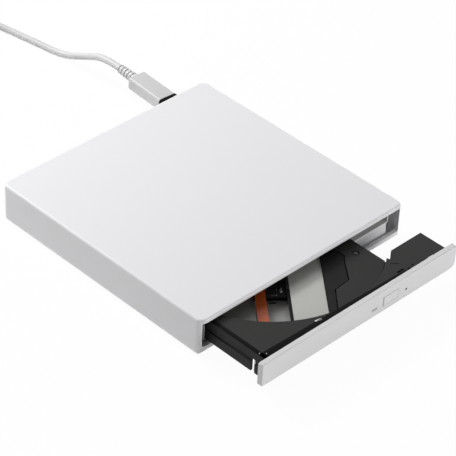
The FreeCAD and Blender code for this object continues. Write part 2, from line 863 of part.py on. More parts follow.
def bezel():
    block = box(bezel_left, bezel_right, bezel_front, tray_y, bezel_z, bezel_top)

    def long_edges(test):
        return [e for e in block.Edges if e.BoundBox.YLength > bezel_t - 0.1 and e.BoundBox.XLength < 0.01
                and test(e.BoundBox)]

    block = block.makeFillet(bezel_left_corner_r, long_edges(lambda b: b.ZMax < bezel_z + 0.1 and b.XMax < bezel_x))
    block = block.makeFillet(bezel_right_corner_r, long_edges(lambda b: b.ZMax < bezel_z + 0.1 and b.XMin > bezel_x))
    block = block.makeFillet(bezel_top_corner_r, long_edges(lambda b: b.ZMin > bezel_top - 0.1))
    front = [e for e in block.Edges if e.BoundBox.YMax < bezel_front + 0.01]
    block = block.makeFillet(bezel_edge_r, front)
    half = button_w / 2 + button_gap
    tall = button_h / 2 + button_gap
    button_hole = box(button_x - half, button_x + half, bezel_front - 1, tray_y + 1, button_z - tall, button_z + tall)
    lens_hole = box(lens_x - lens_w / 2, lens_x + lens_w / 2, bezel_front - 1, tray_y + 1,
                    lens_z - lens_h / 2, lens_z + lens_h / 2)
    pin_hole = rod(pin_hole_x, bezel_front - 1, pin_hole_z, pin_hole_r, bezel_t + 2, Vector(0, 1, 0))
    block = cut(block, button_hole, lens_hole, pin_hole)
    hooks = [box(x - hook_half, x + hook_half, tray_y - 0.5, tray_y + 1.2, deck_top - 0.8, deck_top - 0.05)
             for x in hook_places]
    return join(block, *hooks)


def eject_button():
    half = button_w / 2
    tall = button_h / 2
    face = bezel_front - button_proud
    cap = box(button_x - half, button_x + half, face, tray_y, button_z - tall, button_z + tall)
    cap = cap.makeFillet(0.5, [e for e in cap.Edges if e.BoundBox.YMax < face + 0.01])
    wide = half + button_flange
    high = tall + button_flange
    y0 = tray_y + 0.05
    y1 = y0 + flange_t
    flange = box(button_x - wide, button_x + wide, y0, y1, button_z - high, button_z + high)
    neck = box(button_x - half + 1, button_x + half - 1, tray_y - 0.5, y0 + 0.1, button_z - tall + 1, button_z + tall - 1)
    stem = rod(button_x, y1, button_z, button_stem_r, board_y - 2.1 - button_travel - y1, Vector(0, 1, 0))
    return join(cap, neck, flange, stem)


def status_lens():
    return box(lens_x - lens_w / 2, lens_x + lens_w / 2, bezel_front + 0.05, board_y - 1.4,
               lens_z - lens_h / 2, lens_z + lens_h / 2)


def switch_board():
    return box(switch_board_left, right_rail - guide_w / 2 - 0.3, board_y, board_y + board_t, tray_cover_top, deck_z)


def eject_switch():
    body = box(button_x - 2.2, button_x + 2.2, board_y - 1.5, board_y, button_z - 2.2, button_z + 1.4)
    knob = rod(button_x, board_y - 2.0, button_z - 0.3, 0.9, 0.5, Vector(0, 1, 0))
    return join(body, knob)


def status_led():
    return box(lens_x - 1.2, lens_x + 1.2, board_y - 1.3, board_y, lens_z - 0.8, lens_z + 0.8)


def bezel_bracket():
    # steel angle behind the left end of the bezel
    y0 = tray_y + bracket_in
    y1 = y0 + bracket_t
    x0 = tray_left + ledge
    side = box(x0, x0 + 1.5, y0, y1, tray_z + 0.3, deck_z)
    face = box(x0, x0 + bracket_w, y0, y1, pan_floor + guide_h + 0.4, deck_z)
    foot = box(x0 + 3.0, x0 + bracket_w, y0, y0 + 7, deck_z - sheet, deck_z)
    return join(side, face, foot)


def motor_room(z0, z1):
    return unit_box(motor_in - motor_gap, motor_in + motor_l + motor_gap, lead_offset - motor_r - motor_gap,
                    lead_offset + motor_r + motor_gap, z0, z1)


def tray_cover():
    x0 = left_rail + guide_w / 2 + rail_gap
    x1 = right_rail - guide_w / 2 - rail_gap
    sheet_ = box(x0, x1, tray_y + tray_cover_start, tray_back - tray_wall - 0.2,
                 tray_cover_z, tray_cover_top)
    sheet_ = sheet_.cut(motor_room(tray_cover_z - 1, tray_cover_top + 1))
    for x, y in tray_cover_posts():
        sheet_ = sheet_.cut(rod(x, y, tray_cover_z - 1, 0.8, 3))
    return join(sheet_, latch_pivot())


def tray_cover_screws():
    screws = []
    for x, y in tray_cover_posts():
        head = rod(x, y, tray_cover_z - 0.5, 1.5, 0.5)
        screws.append(join(head, rod(x, y, tray_cover_z, 0.7, 3.0)))
    return group(screws)


# Latch

def latch_pin():
    return rod(latch_pin_x, latch_pin_y, drive_z, latch_pin_r, tray_cover_z - drive_z - 0.15)


def latch_lever():
    # lies beside the pin, let go; a turn of ten degrees swings its hook behind the pin
    z0 = latch_z
    x0 = latch_pivot_x
    y0 = latch_pivot_y
    hook_y = tray_y + latch_pin_in + latch_pin_r + 0.4
    arm = join(rod(x0, y0, z0, 2.2, latch_t),
               box(x0 - 1.0, x0 + 1.0, hook_y, y0, z0, z0 + latch_t),
               box(x0 - 1.0, latch_pin_x - latch_pin_r - 0.6, hook_y, hook_y + 1.6, z0, z0 + latch_t),
               box(x0 - 4.0, x0, y0 - 0.8, y0 + 0.8, z0, z0 + latch_t))
    return arm.cut(rod(x0, y0, z0 - 1, latch_pivot_r + latch_gap, 3))


def latch_pivot():
    x, y = latch_pivot_x, latch_pivot_y
    head_z = latch_z - latch_gap - 0.3
    return join(rod(x, y, head_z, latch_pivot_r, tray_cover_z - head_z + 0.1), rod(x, y, head_z, 1.4, 0.3))


def latch_solenoid():
    y0 = latch_pivot_y + 4.0
    x0 = latch_pivot_x - 8.0
    coil = box(x0, x0 + 12.0, y0, y0 + 6.0, tray_cover_top, tray_cover_top + 2.6)
    return join(coil, box(x0 - 1.5, x0, y0 + 2.2, y0 + 3.8, tray_cover_top + 0.5, tray_cover_top + 2.1))


# Laser unit

def damper_places():
    places = []
    for s, offset in damper_spots:
        p = unit_point(s, offset, 0)
        places.append((p.x, p.y))
    return places


def dampers():
    rings = []
    for x, y in damper_places():
        rings.append(rod(x, y, base_top, damper_r, damper_h).cut(rod(x, y, base_top - 1, 0.8, damper_h + 2)))
    return group(rings)


def damper_screws():
    screws = []
    for x, y in damper_places():
        head = rod(x, y, base_z - 0.6, 1.7, 0.6)
        screws.append(join(head, rod(x, y, base_z, 0.7, base_t + damper_h + 1.0)))
    return group(screws)


def traverse_base():
    disc = spindle_rod(base_r, base_z, base_t)
    keep = prism(window_outline(0.6), base_z - 1, base_top + 1)
    plate = disc.common(keep)
    for x, y in damper_places():
        plate = plate.fuse(rod(x, y, base_z, damper_r + 1.2, base_t))
    for s, offset in damper_spots:
        inner = unit_point(s * 0.78, offset * 0.78, base_z)
        outer = unit_point(s, offset, base_z)
        run = outer - inner
        side = Vector(-run.y, run.x, 0).normalize() * 4.0
        arm = [inner + side, inner - side, outer - side, outer + side]
        face = Part.Face(Part.makePolygon(arm + arm[:1]))
        plate = plate.fuse(face.extrude(Vector(0, 0, base_t)))
    # frame round the far end of the slot, under the tray's rim
    plate = plate.fuse(unit_box(rod_end - frame_l, rod_end + 0.8, slot_left - frame_w, slot_right + frame_w,
                                base_z, base_top))
    plate = plate.fuse(unit_box(lead_out - frame_l / 2, lead_out + 0.4, slot_right, lead_offset + 2.0,
                                base_z, base_top))
    slot = unit_box(stator_flange_r - 1.5, slot_end + 1.5, slot_left, slot_right, base_z - 1, base_top + 1)
    hole = spindle_rod(stator_r + 0.5, base_z - 1, base_t + 2)
    plate = cut(plate, slot, hole, motor_room(base_z - 1, base_top + 1))
    for x, y in damper_places():
        plate = plate.cut(rod(x, y, base_z - 1, 0.8, base_t + 2))
    return plate.removeSplitter()


def guide_rods():
    return group([unit_rod(rod_start, rod_end, offset, rod_z, rod_r) for offset in (rod_left, rod_right)])


def rod_holders():
    blocks = []
    for offset in (rod_left, rod_right):
        for s in (rod_start, rod_end - holder_l):
            block = unit_box(s, s + holder_l, offset - 1.9, offset + 1.9, rod_z - rod_r - 0.3, base_z)
            blocks.append(block.cut(unit_rod(s - 1, s + holder_l + 1, offset, rod_z, rod_r)))
    return group(blocks)


def sled():
    low_z = tray_cover_top + sled_skin
    high_z = base_z - sled_skin
    low = unit_box(sled_in, sled_out, rod_left - 2.2, rod_right + 2.2, low_z, high_z)
    high = unit_box(sled_in, sled_out, slot_left + 0.6, slot_right - 0.6, low_z, base_top + 0.6)
    body = join(low, high)
    for offset in (rod_left, rod_right):
        body = body.cut(unit_rod(sled_in - 1, sled_out + 1, offset, rod_z, rod_r + rod_gap))
    # well for the lens block
    well = unit_box(lens_radius - lens_block_l / 2 - 0.5, lens_radius + lens_block_l / 2 + 0.5,
                    lens_block_left - lens_play, lens_block_right + lens_play, lens_block_z - lens_play - 0.1, base_top + 2)
    return body.cut(well).removeSplitter()


def sled_nut():
    z0 = tray_cover_top + sled_skin + 0.1
    return unit_box(nut_in, nut_in + nut_l, rod_right + 2.2, lead_offset - lead_r - 0.08, z0, base_z - 0.4)


def lens_holder():
    z0 = lens_block_z
    block = unit_box(lens_radius - lens_block_l / 2, lens_radius + lens_block_l / 2,
                     lens_block_left, lens_block_right, z0, z0 + lens_block_h)
    p = unit_point(lens_radius, 0, z0 - 1)
    return block.cut(rod(p.x, p.y, p.z, lens_r, lens_block_h + 2))


def objective_lens():
    z0 = lens_block_z
    p = unit_point(lens_radius, 0, z0)
    body = rod(p.x, p.y, z0, lens_r, lens_block_h)
    dome = Part.makeSphere(2.4, Vector(p.x, p.y, z0 + lens_block_h - 1.6))
    cap = dome.common(rod(p.x, p.y, z0 + lens_block_h - 0.2, 1.7, 1.5))
    return join(body, cap)


def lead_screw():
    shaft = unit_rod(lead_in - 1.6, lead_out, lead_offset, rod_z, lead_core_r)
    thread = unit_rod(lead_in + 1.0, lead_out - 2.5, lead_offset, rod_z, lead_r)
    return join(shaft, thread)


def lead_bearings():
    inner = unit_box(lead_in - 0.9, lead_in + 0.5, lead_offset - 2.2, lead_offset + 2.2, rod_z - 1.4, base_z)
    outer = unit_box(lead_out - 1.8, lead_out - 0.4, lead_offset - 2.2, lead_offset + 2.0, rod_z - 1.4, base_z)
    bore = unit_rod(lead_in - 3, lead_out + 3, lead_offset, rod_z, lead_core_r + 0.04)
    return group([inner.cut(bore), outer.cut(bore)])


def sled_motor():
    s1 = motor_in + motor_l
    body = unit_rod(motor_in, s1, lead_offset, rod_z, motor_r)
    flat = unit_box(motor_in, s1, lead_offset - motor_r, lead_offset + motor_r,
                    pan_floor, pan_floor + 0.9)
    foot = unit_box(s1 - 1.0, s1 - 0.2, lead_offset - 1.5, lead_offset + motor_r + 2.2,
                    base_z - 0.5, base_z)
    bore = unit_rod(s1 - 1.5, s1 + 1, lead_offset, rod_z, lead_core_r + 0.04)
    return cut(join(body, foot), flat, bore).removeSplitter()


def spindle_motor():
    z0 = tray_cover_top + 0.2
    can = spindle_rod(stator_r, z0, base_top + 0.2 - z0)
    flange = spindle_rod(stator_flange_r, base_z - 0.6, 0.6)
    bore = spindle_rod(shaft_r + shaft_gap, z0 + 0.4, 12)
    return join(can, flange).cut(bore)


def spindle_turntable():
    z0 = base_top + 0.5
    disc = spindle_rod(rotor_r, z0, disc_z - z0)
    hub = spindle_rod(hub_r, disc_z - 0.1, hub_h + 0.1)
    hub = hub.makeChamfer(0.4, [e for e in hub.Edges if at_height(disc_z + hub_h)(e)])
    shaft = spindle_rod(shaft_r, tray_cover_top + 0.6, z0 - tray_cover_top - 0.5)
    body = join(disc, hub, shaft)
    groove = spindle_rod(rotor_r + 1, disc_z - pad_ring_t, pad_ring_t + 0.01)
    groove = groove.cut(spindle_rod(pad_ring_in, disc_z - pad_ring_t - 1, 3))
    body = body.cut(groove)
    for ball in hub_ball_centres():
        body = body.cut(Part.makeSphere(hub_ball_r + 0.03, ball))
    return body.removeSplitter()


def hub_ball_centres():
    out = []
    for k in range(3):
        a = math.radians(90 + 120 * k)
        out.append(Vector(spindle_x + hub_ball_ring * math.cos(a), spindle_y + hub_ball_ring * math.sin(a), disc_z + 0.6))
    return out


def hub_balls():
    return group([Part.makeSphere(hub_ball_r, c) for c in hub_ball_centres()])


def turntable_pad():
    ring = spindle_rod(rotor_r, disc_z - pad_ring_t, pad_ring_t)
    return ring.cut(spindle_rod(pad_ring_in, disc_z - 2, 4))


def cover_plate():
    z0 = base_top + plate_up
    plate = unit_box(plate_in, base_r + 2, plate_left, plate_right, z0, z0 + plate_t)
    plate = plate.common(spindle_rod(base_r, z0 - 1, 3))
    plate = plate.cut(spindle_rod(rotor_r + 0.8, z0 - 1, 3))
    legs = []
    for s in plate_legs:
        leg = unit_box(s, s + 4, plate_right - 3.2, plate_right - 0.4, base_top, z0 + 0.1)
        legs.append(leg)
    return join(plate, *legs)


def hood():
    # black cover between the light plate and the zigzag seam
    z0 = base_top + plate_up
    area = spindle_rod(base_r, z0, hood_t).common(prism(window_outline(seam_cut), z0 - 1, z0 + 3))
    area = area.common(unit_box(-30, base_r + 5, plate_right + 0.3, 80, z0 - 1, z0 + 3))
    area = max(area.Solids, key=lambda solid: solid.Volume)
    legs = []
    for s, offset in hood_legs:
        legs.append(unit_box(s, s + 3, offset, offset + 3, base_top, z0 + 0.1))
    return join(area, *legs)


def pickup_flex():
    z0 = base_top + flex_up
    return unit_box(flex_in, flex_out, flex_right - flex_w, flex_right, z0, z0 + flex_t)


def flex_clamp():
    z0 = base_top + flex_up
    return unit_box(flex_out - 2.6, flex_out, flex_right - flex_w - 0.8, flex_right, z0 + flex_t, deck_z)


# Electronics in the drive and behind it

def logic_board():
    return box(logic_x, deep_right - logic_right, logic_y, drive_back - sheet - logic_back, pan_floor, logic_z)


def logic_chips():
    chips = []
    y = drive_back - 5.0
    for x, width, half_y, height in chip_spots:
        chips.append(box(logic_x + x, logic_x + x + width, y - half_y, y + half_y, logic_z, logic_z + height))
    return group(chips)


def flex_socket():
    return band(logic_y, logic_y + 2.9, logic_z, logic_z + 1.5)


def band(y0, y1, z0, z1):
    return box(band_x - band_w / 2, band_x + band_w / 2, y0, y1, z0, z1)


def band_turn_y():
    return tray_y + band_turn


def flex_lower():
    y1 = logic_y
    run = band(drive_front + 2.0, y1, pan_floor, pan_floor + band_t)
    return join(run, band(y1 - band_t, y1, pan_floor, pan_floor + board_t + 0.8))


def flex_upper():
    y0 = band_turn_y() - tray_out / 2 - 2.0
    return band(y0, tray_back - band_short, tray_cover_z - band_t, tray_cover_z)


def flex_turn():
    # the turn between the two runs, which goes half as far as the tray
    y0 = band_turn_y()
    z0 = pan_floor + band_t + band_gap
    z1 = tray_cover_z - band_t - band_gap
    r = (z1 - z0) / 2
    x0 = band_x - band_w / 2
    bend = rod(x0, y0 + r, z0 + r, r, band_w, Vector(1, 0, 0))
    bend = bend.cut(rod(x0 - 1, y0 + r, z0 + r, r - band_t, band_w + 2, Vector(1, 0, 0)))
    bend = bend.cut(band(y0 + r, y0 + 2 * r + 1, z0 - 1, z1 + 1))
    legs = [band(y0 + r, y0 + band_leg, z0, z0 + band_t), band(y0 + r, y0 + band_leg, z1 - band_t, z1)]
    return join(bend, *legs)


def drive_connector():
    x0 = connector_left + 0.3
    x1 = connector_left + connector_w - 0.3
    z1 = bridge_z + 2.8
    foot = box(x0, min(x1, deep_right - connector_deep), drive_back - 2.2, drive_back - sheet - logic_back, logic_z, z1)
    return join(foot, box(x0, x1, drive_back - 1.9, bridge_y, bridge_z - 1.0, z1))


def bridge_board():
    y1 = inner_back - 0.4
    board = box(connector_left - 4, usb_x + board_side, bridge_y, y1, bridge_z, bridge_z + board_t)
    for x, y in board_posts():
        board = board.cut(rod(x, y, bridge_z - 1, 0.9, 3))
    return board


def board_posts():
    y = (drive_back + inner_back) / 2 + 1.0
    return [(connector_left + board_post_left, y), (usb_x - board_post_right, y)]


def board_screws():
    screws = []
    z = bridge_z + board_t
    for x, y in board_posts():
        screws.append(join(rod(x, y, z, 1.6, 0.8), rod(x, y, z - board_t - 3.6, 0.8, board_t + 3.7)))
    return group(screws)


def bridge_parts():
    z = bridge_z + board_t
    y = (drive_back + inner_back) / 2 + 1.0
    parts = [box(2, 9, y - 2.6, y + 3.5, z, z + 1.2), box(12, 15.2, y - 2.4, y + 2.4, z, z + 1.6)]
    for x in (19.0, 21.6, 24.2):
        parts.append(rod(x, y + 1.0, z, 1.1, 2.2))
    return group(parts)


def header():
    # header on the bridge board that takes the drive's connector
    z0 = bridge_z + board_t
    return box(connector_left + 8.5, connector_left + connector_w - 1.0, bridge_y, bridge_y + 2.4, z0, z0 + 1.6)


def usb_socket():
    y1 = inner_back + wall * 0.5
    x0 = usb_x - socket_w / 2
    z0 = usb_z - socket_h / 2
    shell = box(x0, x0 + socket_w, y1 - socket_l, y1, z0, z0 + socket_h)
    room = box(x0 + socket_wall, x0 + socket_w - socket_wall, y1 - socket_l + socket_wall, y1 + 1,
               z0 + socket_wall, z0 + socket_h - socket_wall)
    return shell.cut(room)


def socket_tongue():
    y1 = inner_back + wall * 0.5
    return box(usb_x - 2.4, usb_x + 2.4, y1 - socket_l + socket_wall, y1 - 2.0, usb_z - 0.4, usb_z + 0.4)


# Cable: mini plug, strain relief, free stretch, coil, tie and the plug for the computer

def on_plug(shape):
    # the housing sits a little askew on its metal shell
    shape.rotate(Vector(plug_x, plug_face, 0), Vector(0, 0, 1), -plug_turn)
    return shape


def behind_plug(y, z):
    a = math.radians(plug_turn)
    return (plug_x + (y - plug_face) * math.sin(a), plug_face + (y - plug_face) * math.cos(a), z)


def mini_plug():
    body = box(plug_x - plug_w / 2, plug_x + plug_w / 2, plug_face, plug_back, plug_z - plug_h / 2, plug_z + plug_h / 2)
    long_edges = [e for e in body.Edges if e.BoundBox.YLength > plug_l - 0.1]
    body = body.makeFillet(plug_edge_r, long_edges)
    back_edges = [e for e in body.Edges if e.BoundBox.YMin > plug_back - 0.01]
    body = on_plug(body.makeFillet(1.2, back_edges).fuse(strain_relief()))
    pocket = box(usb_x - plug_shell_w / 2, usb_x + plug_shell_w / 2, plug_face - 2, plug_face + plug_pocket,
                 usb_z - plug_shell_h / 2, usb_z + plug_shell_h / 2)
    return body.cut(pocket).removeSplitter()


def mini_plug_shell():
    y0 = inner_back + wall * 0.5 - plug_shell_in
    outer = box(usb_x - plug_shell_w / 2, usb_x + plug_shell_w / 2, y0, plug_face + plug_pocket,
                usb_z - plug_shell_h / 2, usb_z + plug_shell_h / 2)
    t = plug_shell_t
    inner = box(usb_x - plug_shell_w / 2 + t, usb_x + plug_shell_w / 2 - t, y0 - 1, plug_face - 1.5,
                usb_z - plug_shell_h / 2 + t, usb_z + plug_shell_h / 2 - t)
    return outer.cut(inner)


def strain_relief():
    core = Part.makeCone(relief_r, cable_r + 0.5, relief_l, Vector(plug_x, plug_back, plug_z), Vector(0, 1, 0))
    step = relief_l / relief_ribs
    for k in range(relief_ribs):
        y = plug_back + (k + 0.68) * step
        near = relief_r - (relief_r - cable_r - 0.5) * (y - plug_back) / relief_l
        ring = rod(plug_x, y, plug_z, near + 1, step * 0.3, Vector(0, 1, 0))
        ring = ring.cut(rod(plug_x, y - 1, plug_z, near - 0.5, step + 2, Vector(0, 1, 0)))
        core = core.cut(ring)
    return core


# points of the free stretch, chosen by hand: out of the relief, down to the table, then to the coil
free_route = [behind_plug(relief_back, plug_z), behind_plug(relief_back + 14.5, plug_z), (usb_x + 4.3, 166.5, 9.6),
              (usb_x + 2.3, 183.5, cable_r + 0.2), (usb_x - 0.5, 204.0, cable_r), (usb_x - 4.5, 225.0, cable_r + 0.4)]


def coil_entry():
    a = math.radians(coil_start)
    p = Vector(coil_x + coil_out_r * math.cos(a), coil_y + coil_out_r * math.sin(a), coil_z(0))
    t = Vector(-math.sin(a), math.cos(a), 0)
    return p, t


def coil_z(layer):
    # layer 0 is the upper one, where the cable comes in
    low = tie_t + cable_r
    return low + (1 - layer) * (2 * cable_r + layer_gap)


def route_points():
    p, t = coil_entry()
    return [Vector(*q) for q in free_route] + [p - t * 17.0, p]


def rounded_path(points):
    # straight runs joined by tangent arcs, each as large as its two runs allow
    edges = []
    radii = []
    start = points[0]
    for k in range(1, len(points) - 1):
        a, b, c = points[k - 1], points[k], points[k + 1]
        u = (a - b).normalize()
        v = (c - b).normalize()
        turn = math.pi - u.getAngle(v)
        setback = 0.45 * min((a - b).Length, (c - b).Length)
        r = setback / math.tan(turn / 2)
        p = b + u * setback
        q = b + v * setback
        bisector = (u + v).normalize()
        middle = b + bisector * (r / math.cos(turn / 2) - r)
        edges.append(Part.LineSegment(start, p).toShape())
        edges.append(Part.Arc(p, middle, q).toShape())
        radii.append(r)
        start = q
    edges.append(Part.LineSegment(start, points[-1]).toShape())
    return Part.Wire(edges), radii


def tube(path, r, point, direction):
    circle = Part.makeCircle(r, point, direction)
    return path.makePipeShell([Part.Wire([circle])], True, False)


def cable():
    points = route_points()
    path, radii = rounded_path(points)
    solid = tube(path, cable_r, points[0], points[1] - points[0])
    print("cable run", round(path.Length, 1), "mm, radii", [round(r, 1) for r in radii])
    print("cable volume", round(solid.Volume, 1), "section by length",
          round(math.pi * cable_r ** 2 * path.Length, 1))
    return solid


def coil_place(turn):
    # turn counts whole turns from the entry; returns the place on the centreline
    half = 0.5
    if turn < coil_turns:
        r = coil_out_r - coil_pitch * turn
        z = coil_z(0)
    elif turn < coil_turns + half:
        share = (turn - coil_turns) / half
        r = coil_out_r - coil_pitch * coil_turns - coil_tuck * math.sin(math.pi * share) ** 2
        ease = share * share * (3 - 2 * share)
        z = coil_z(0) + (coil_z(1) - coil_z(0)) * ease
    else:
        r = coil_out_r - coil_pitch * (2 * coil_turns + half - turn)
        z = coil_z(1)
    a = math.radians(coil_start) + 2 * math.pi * turn
    return Vector(coil_x + r * math.cos(a), coil_y + r * math.sin(a), z)


def coil_tangent(turn):
    h = 0.002
    last = 2 * coil_turns + 0.5
    if turn < h:
        return coil_entry()[1]
    if turn > last - h:
        a = math.radians(coil_start) + 2 * math.pi * last
        return Vector(-math.sin(a), math.cos(a), 0)
    return (coil_place(turn + h) - coil_place(turn - h)).normalize()


def half_arc(p, t, q):
    chord = q - p
    angle = chord.getAngle(t)
    side = t - chord * (t.dot(chord) / chord.dot(chord))
    if angle < 1e-4 or side.Length < 1e-6:
        return Part.LineSegment(p, q).toShape()
    middle = p + chord * 0.5 + side.normalize() * (chord.Length / 2 * math.tan(angle / 2))
    return Part.Arc(p, middle, q).toShape()


def biarc(p, t, q, u):
    chord = q - p
    k = 2 * (1 - t.dot(u))
    b = chord.dot(t + u)
    if k < 1e-9:
        d = chord.dot(chord) / (2 * b)
    else:
        d = (-b + math.sqrt(b * b + k * chord.dot(chord))) / k
    joint = (p + t * d + q - u * d) * 0.5
    first = half_arc(p, t, joint)
    second = half_arc(q, u * -1, joint)
    return [first, second]


def coil_end():
    last = 2 * coil_turns + 0.5
    p = coil_place(last)
    t = coil_tangent(last)
    return p, t


def coil_path():
    last = 2 * coil_turns + 0.5
    stops = [k / 4 for k in range(int(last * 4) + 1)]
    if last - stops[-1] > 1e-6:
        stops.append(last)
    edges = []
    p, t = coil_entry()
    for a, b in zip(stops[:-1], stops[1:]):
        edges += biarc(coil_place(a), coil_tangent(a), coil_place(b), coil_tangent(b))
    q, u = coil_end()
    edges.append(Part.LineSegment(q, q + u * coil_tail).toShape())
    return Part.Wire(Part.__sortEdges__(edges))


def cable_coil():
    path = coil_path()
    p, t = coil_entry()
    solid = tube(path, cable_r, p, t)
    print("coil length", round(path.Length, 1), "mm, volume", round(solid.Volume, 1), "section by length",
          round(math.pi * cable_r ** 2 * path.Length, 1))
    points = path.discretize(Distance=1.5)
    least = 1e9
    for i, a in enumerate(points):
        for b in points[i + 20:]:
            least = min(least, (a - b).Length)
    print("coil least gap", round(least - 2 * cable_r, 2), "mm")
    return solid


def coil_tie():
    r0 = coil_out_r - coil_pitch * coil_turns - coil_tuck - cable_r - tie_clear
    r1 = coil_out_r + cable_r + tie_clear
    z1 = coil_z(0) + cable_r + tie_clear
    ring = box(r0 - tie_t, r1 + tie_t, -tie_w / 2, tie_w / 2, 0, z1 + tie_t)
    room = box(r0, r1, -tie_w, tie_w, tie_t, z1)
    band = ring.cut(room)
    band.rotate(Vector(0, 0, 0), Vector(0, 0, 1), tie_angle)
    band.translate(Vector(coil_x, coil_y, 0))
    return band


def set_on_line(shape):
    # turns a shape drawn along +Y from the origin to the end of the coil
    q, u = coil_end()
    start = q + u * coil_tail
    shape.rotate(Vector(0, 0, 0), Vector(0, 0, 1), math.degrees(math.atan2(u.y, u.x)) - 90)
    shape.translate(Vector(start.x, start.y, 0))
    return shape


def usb_a_plug():
    low = coil_z(1)
    mid = usb_a_h / 2
    start = Part.Wire([Part.makeCircle(cable_r + 0.6, Vector(0, 0, low), Vector(0, 1, 0))])
    end = Part.Wire([Part.makeCircle(cable_r + 1.4, Vector(0, usb_a_relief, mid), Vector(0, 1, 0))])
    relief = Part.makeLoft([start, end], True, True)
    body = box(-usb_a_w / 2, usb_a_w / 2, usb_a_relief, usb_a_relief + usb_a_l, 0, usb_a_h)
    body = body.makeFillet(1.5, [e for e in body.Edges if e.BoundBox.YLength > usb_a_l - 0.1])
    return set_on_line(join(relief, body))


def usb_a_shell():
    y0 = usb_a_relief + usb_a_l
    z0 = (usb_a_h - usb_a_shell_h) / 2
    x = usb_a_shell_w / 2
    t = usb_a_shell_t
    outer = box(-x, x, y0, y0 + usb_a_shell_l, z0, z0 + usb_a_shell_h)
    inner = box(-x + t, x - t, y0 + 1.0, y0 + usb_a_shell_l + 1, z0 + t, z0 + usb_a_shell_h - t)
    return set_on_line(outer.cut(inner))


def usb_a_tongue():
    y0 = usb_a_relief + usb_a_l + 1.0
    z0 = (usb_a_h - usb_a_shell_h) / 2 + usb_a_shell_t
    return set_on_line(box(-usb_a_tongue_w / 2, usb_a_tongue_w / 2, y0, y0 + usb_a_shell_l - 1.6, z0, z0 + usb_a_tongue_t))


# Pusher

def eject_sleeve():
    outer = rod(pusher_x, sleeve_front, pusher_z, pusher_r + pusher_gap + sleeve_wall, sleeve_l, Vector(0, 1, 0))
    post = box(pusher_x - 1.2, pusher_x + 1.2, drive_back - 7.0, drive_back - sheet, pan_floor, pusher_z)
    body = join(outer, post)
    return body.cut(rod(pusher_x, sleeve_front - 1, pusher_z, pusher_r + pusher_gap, sleeve_l + 1, Vector(0, 1, 0)))


def eject_pusher():
    pin = rod(pusher_x, sleeve_front - pusher_stand, pusher_z, pusher_r, pusher_l, Vector(0, 1, 0))
    return pin.makeFillet(0.6, [e for e in pin.Edges if e.BoundBox.YMax < sleeve_front - pusher_stand + 0.01])


def eject_spring():
    y0 = sleeve_front - pusher_stand + pusher_l
    length = drive_back - sheet - y0
    ring = rod(pusher_x, y0, pusher_z, pusher_r - 0.1, length, Vector(0, 1, 0))
    return ring.cut(rod(pusher_x, y0 - 1, pusher_z, pusher_r - 0.6, length + 2, Vector(0, 1, 0)))


nodes = {
    "top_shell": top_shell,
    "bottom_shell": bottom_shell,
    "rubber_feet": rubber_feet,
    "case_screws": case_screws,
    "foam_pads": foam_pads,
    "drive_pan": drive_pan,
    "drive_cover": drive_cover,
    "inner_screws": lambda: group([cover_screws(), drive_screws(), board_screws()]),
    "guide_rail_left": lambda: guide_rail(left_rail),
    "guide_rail_right": lambda: guide_rail(right_rail),
    "logic_board": logic_board,
    "logic_chips": lambda: group([logic_chips(), flex_socket()]),
    "flex_lower": flex_lower,
    "drive_connector": lambda: group([drive_connector(), header()]),
    "bridge_board": bridge_board,
    "bridge_chips": bridge_parts,
    "usb_socket": lambda: group([usb_socket(), socket_tongue()]),
    "eject_sleeve": eject_sleeve,
    "eject_spring": eject_spring,
    "eject_pusher": eject_pusher,
    "slide_rail_left": lambda: slide_rail(left_rail),
    "slide_rail_right": lambda: slide_rail(right_rail),
    "flex_turn": flex_turn,
    "tray": tray,
    "tray_cover": tray_cover,
    "tray_screws": lambda: group([deck_screws(), tray_cover_screws(), damper_screws()]),
    "bezel": bezel,
    "bezel_bracket": bezel_bracket,
    "status_lens": status_lens,
    "switch_board": switch_board,
    "switch_parts": lambda: group([eject_switch(), status_led()]),
    "eject_button": eject_button,
    "latch_lever": latch_lever,
    "latch_solenoid": latch_solenoid,
    "flex_upper": flex_upper,
    "dampers": dampers,
    "traverse_base": traverse_base,
    "guide_rods": guide_rods,
    "rod_holders": lambda: group([rod_holders(), lead_bearings()]),
    "spindle_motor": spindle_motor,
    "sled_motor": sled_motor,
    "light_plate": cover_plate,
    "unit_hood": hood,
    "pickup_flex": pickup_flex,
    "turntable": spindle_turntable,
    "hub_balls": hub_balls,
    "turntable_pad": turntable_pad,
    "pickup_sled": sled,
    "sled_nut": sled_nut,
    "lens_holder": lens_holder,
    "objective_lens": objective_lens,
    "lead_screw": lead_screw,
    "mini_plug": mini_plug,
    "mini_plug_shell": mini_plug_shell,
    "usb_cable": cable,
    "cable_coil": cable_coil,
    "cable_tie": coil_tie,
    "usb_a_plug": usb_a_plug,
    "usb_a_shell": lambda: group([usb_a_shell(), usb_a_tongue()]),
}

os.makedirs("parts", exist_ok=True)
for name, build in nodes.items():
    shape = build()
    if not shape.isValid():
        print("invalid:", name)
    solids = shape.Solids
    print(name, len(solids), "solids", round(shape.Volume, 1), "mm3")
    shape.exportStep("parts/" + name + ".step")
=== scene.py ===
import bpy
import json
import math
from mathutils import Matrix, Vector


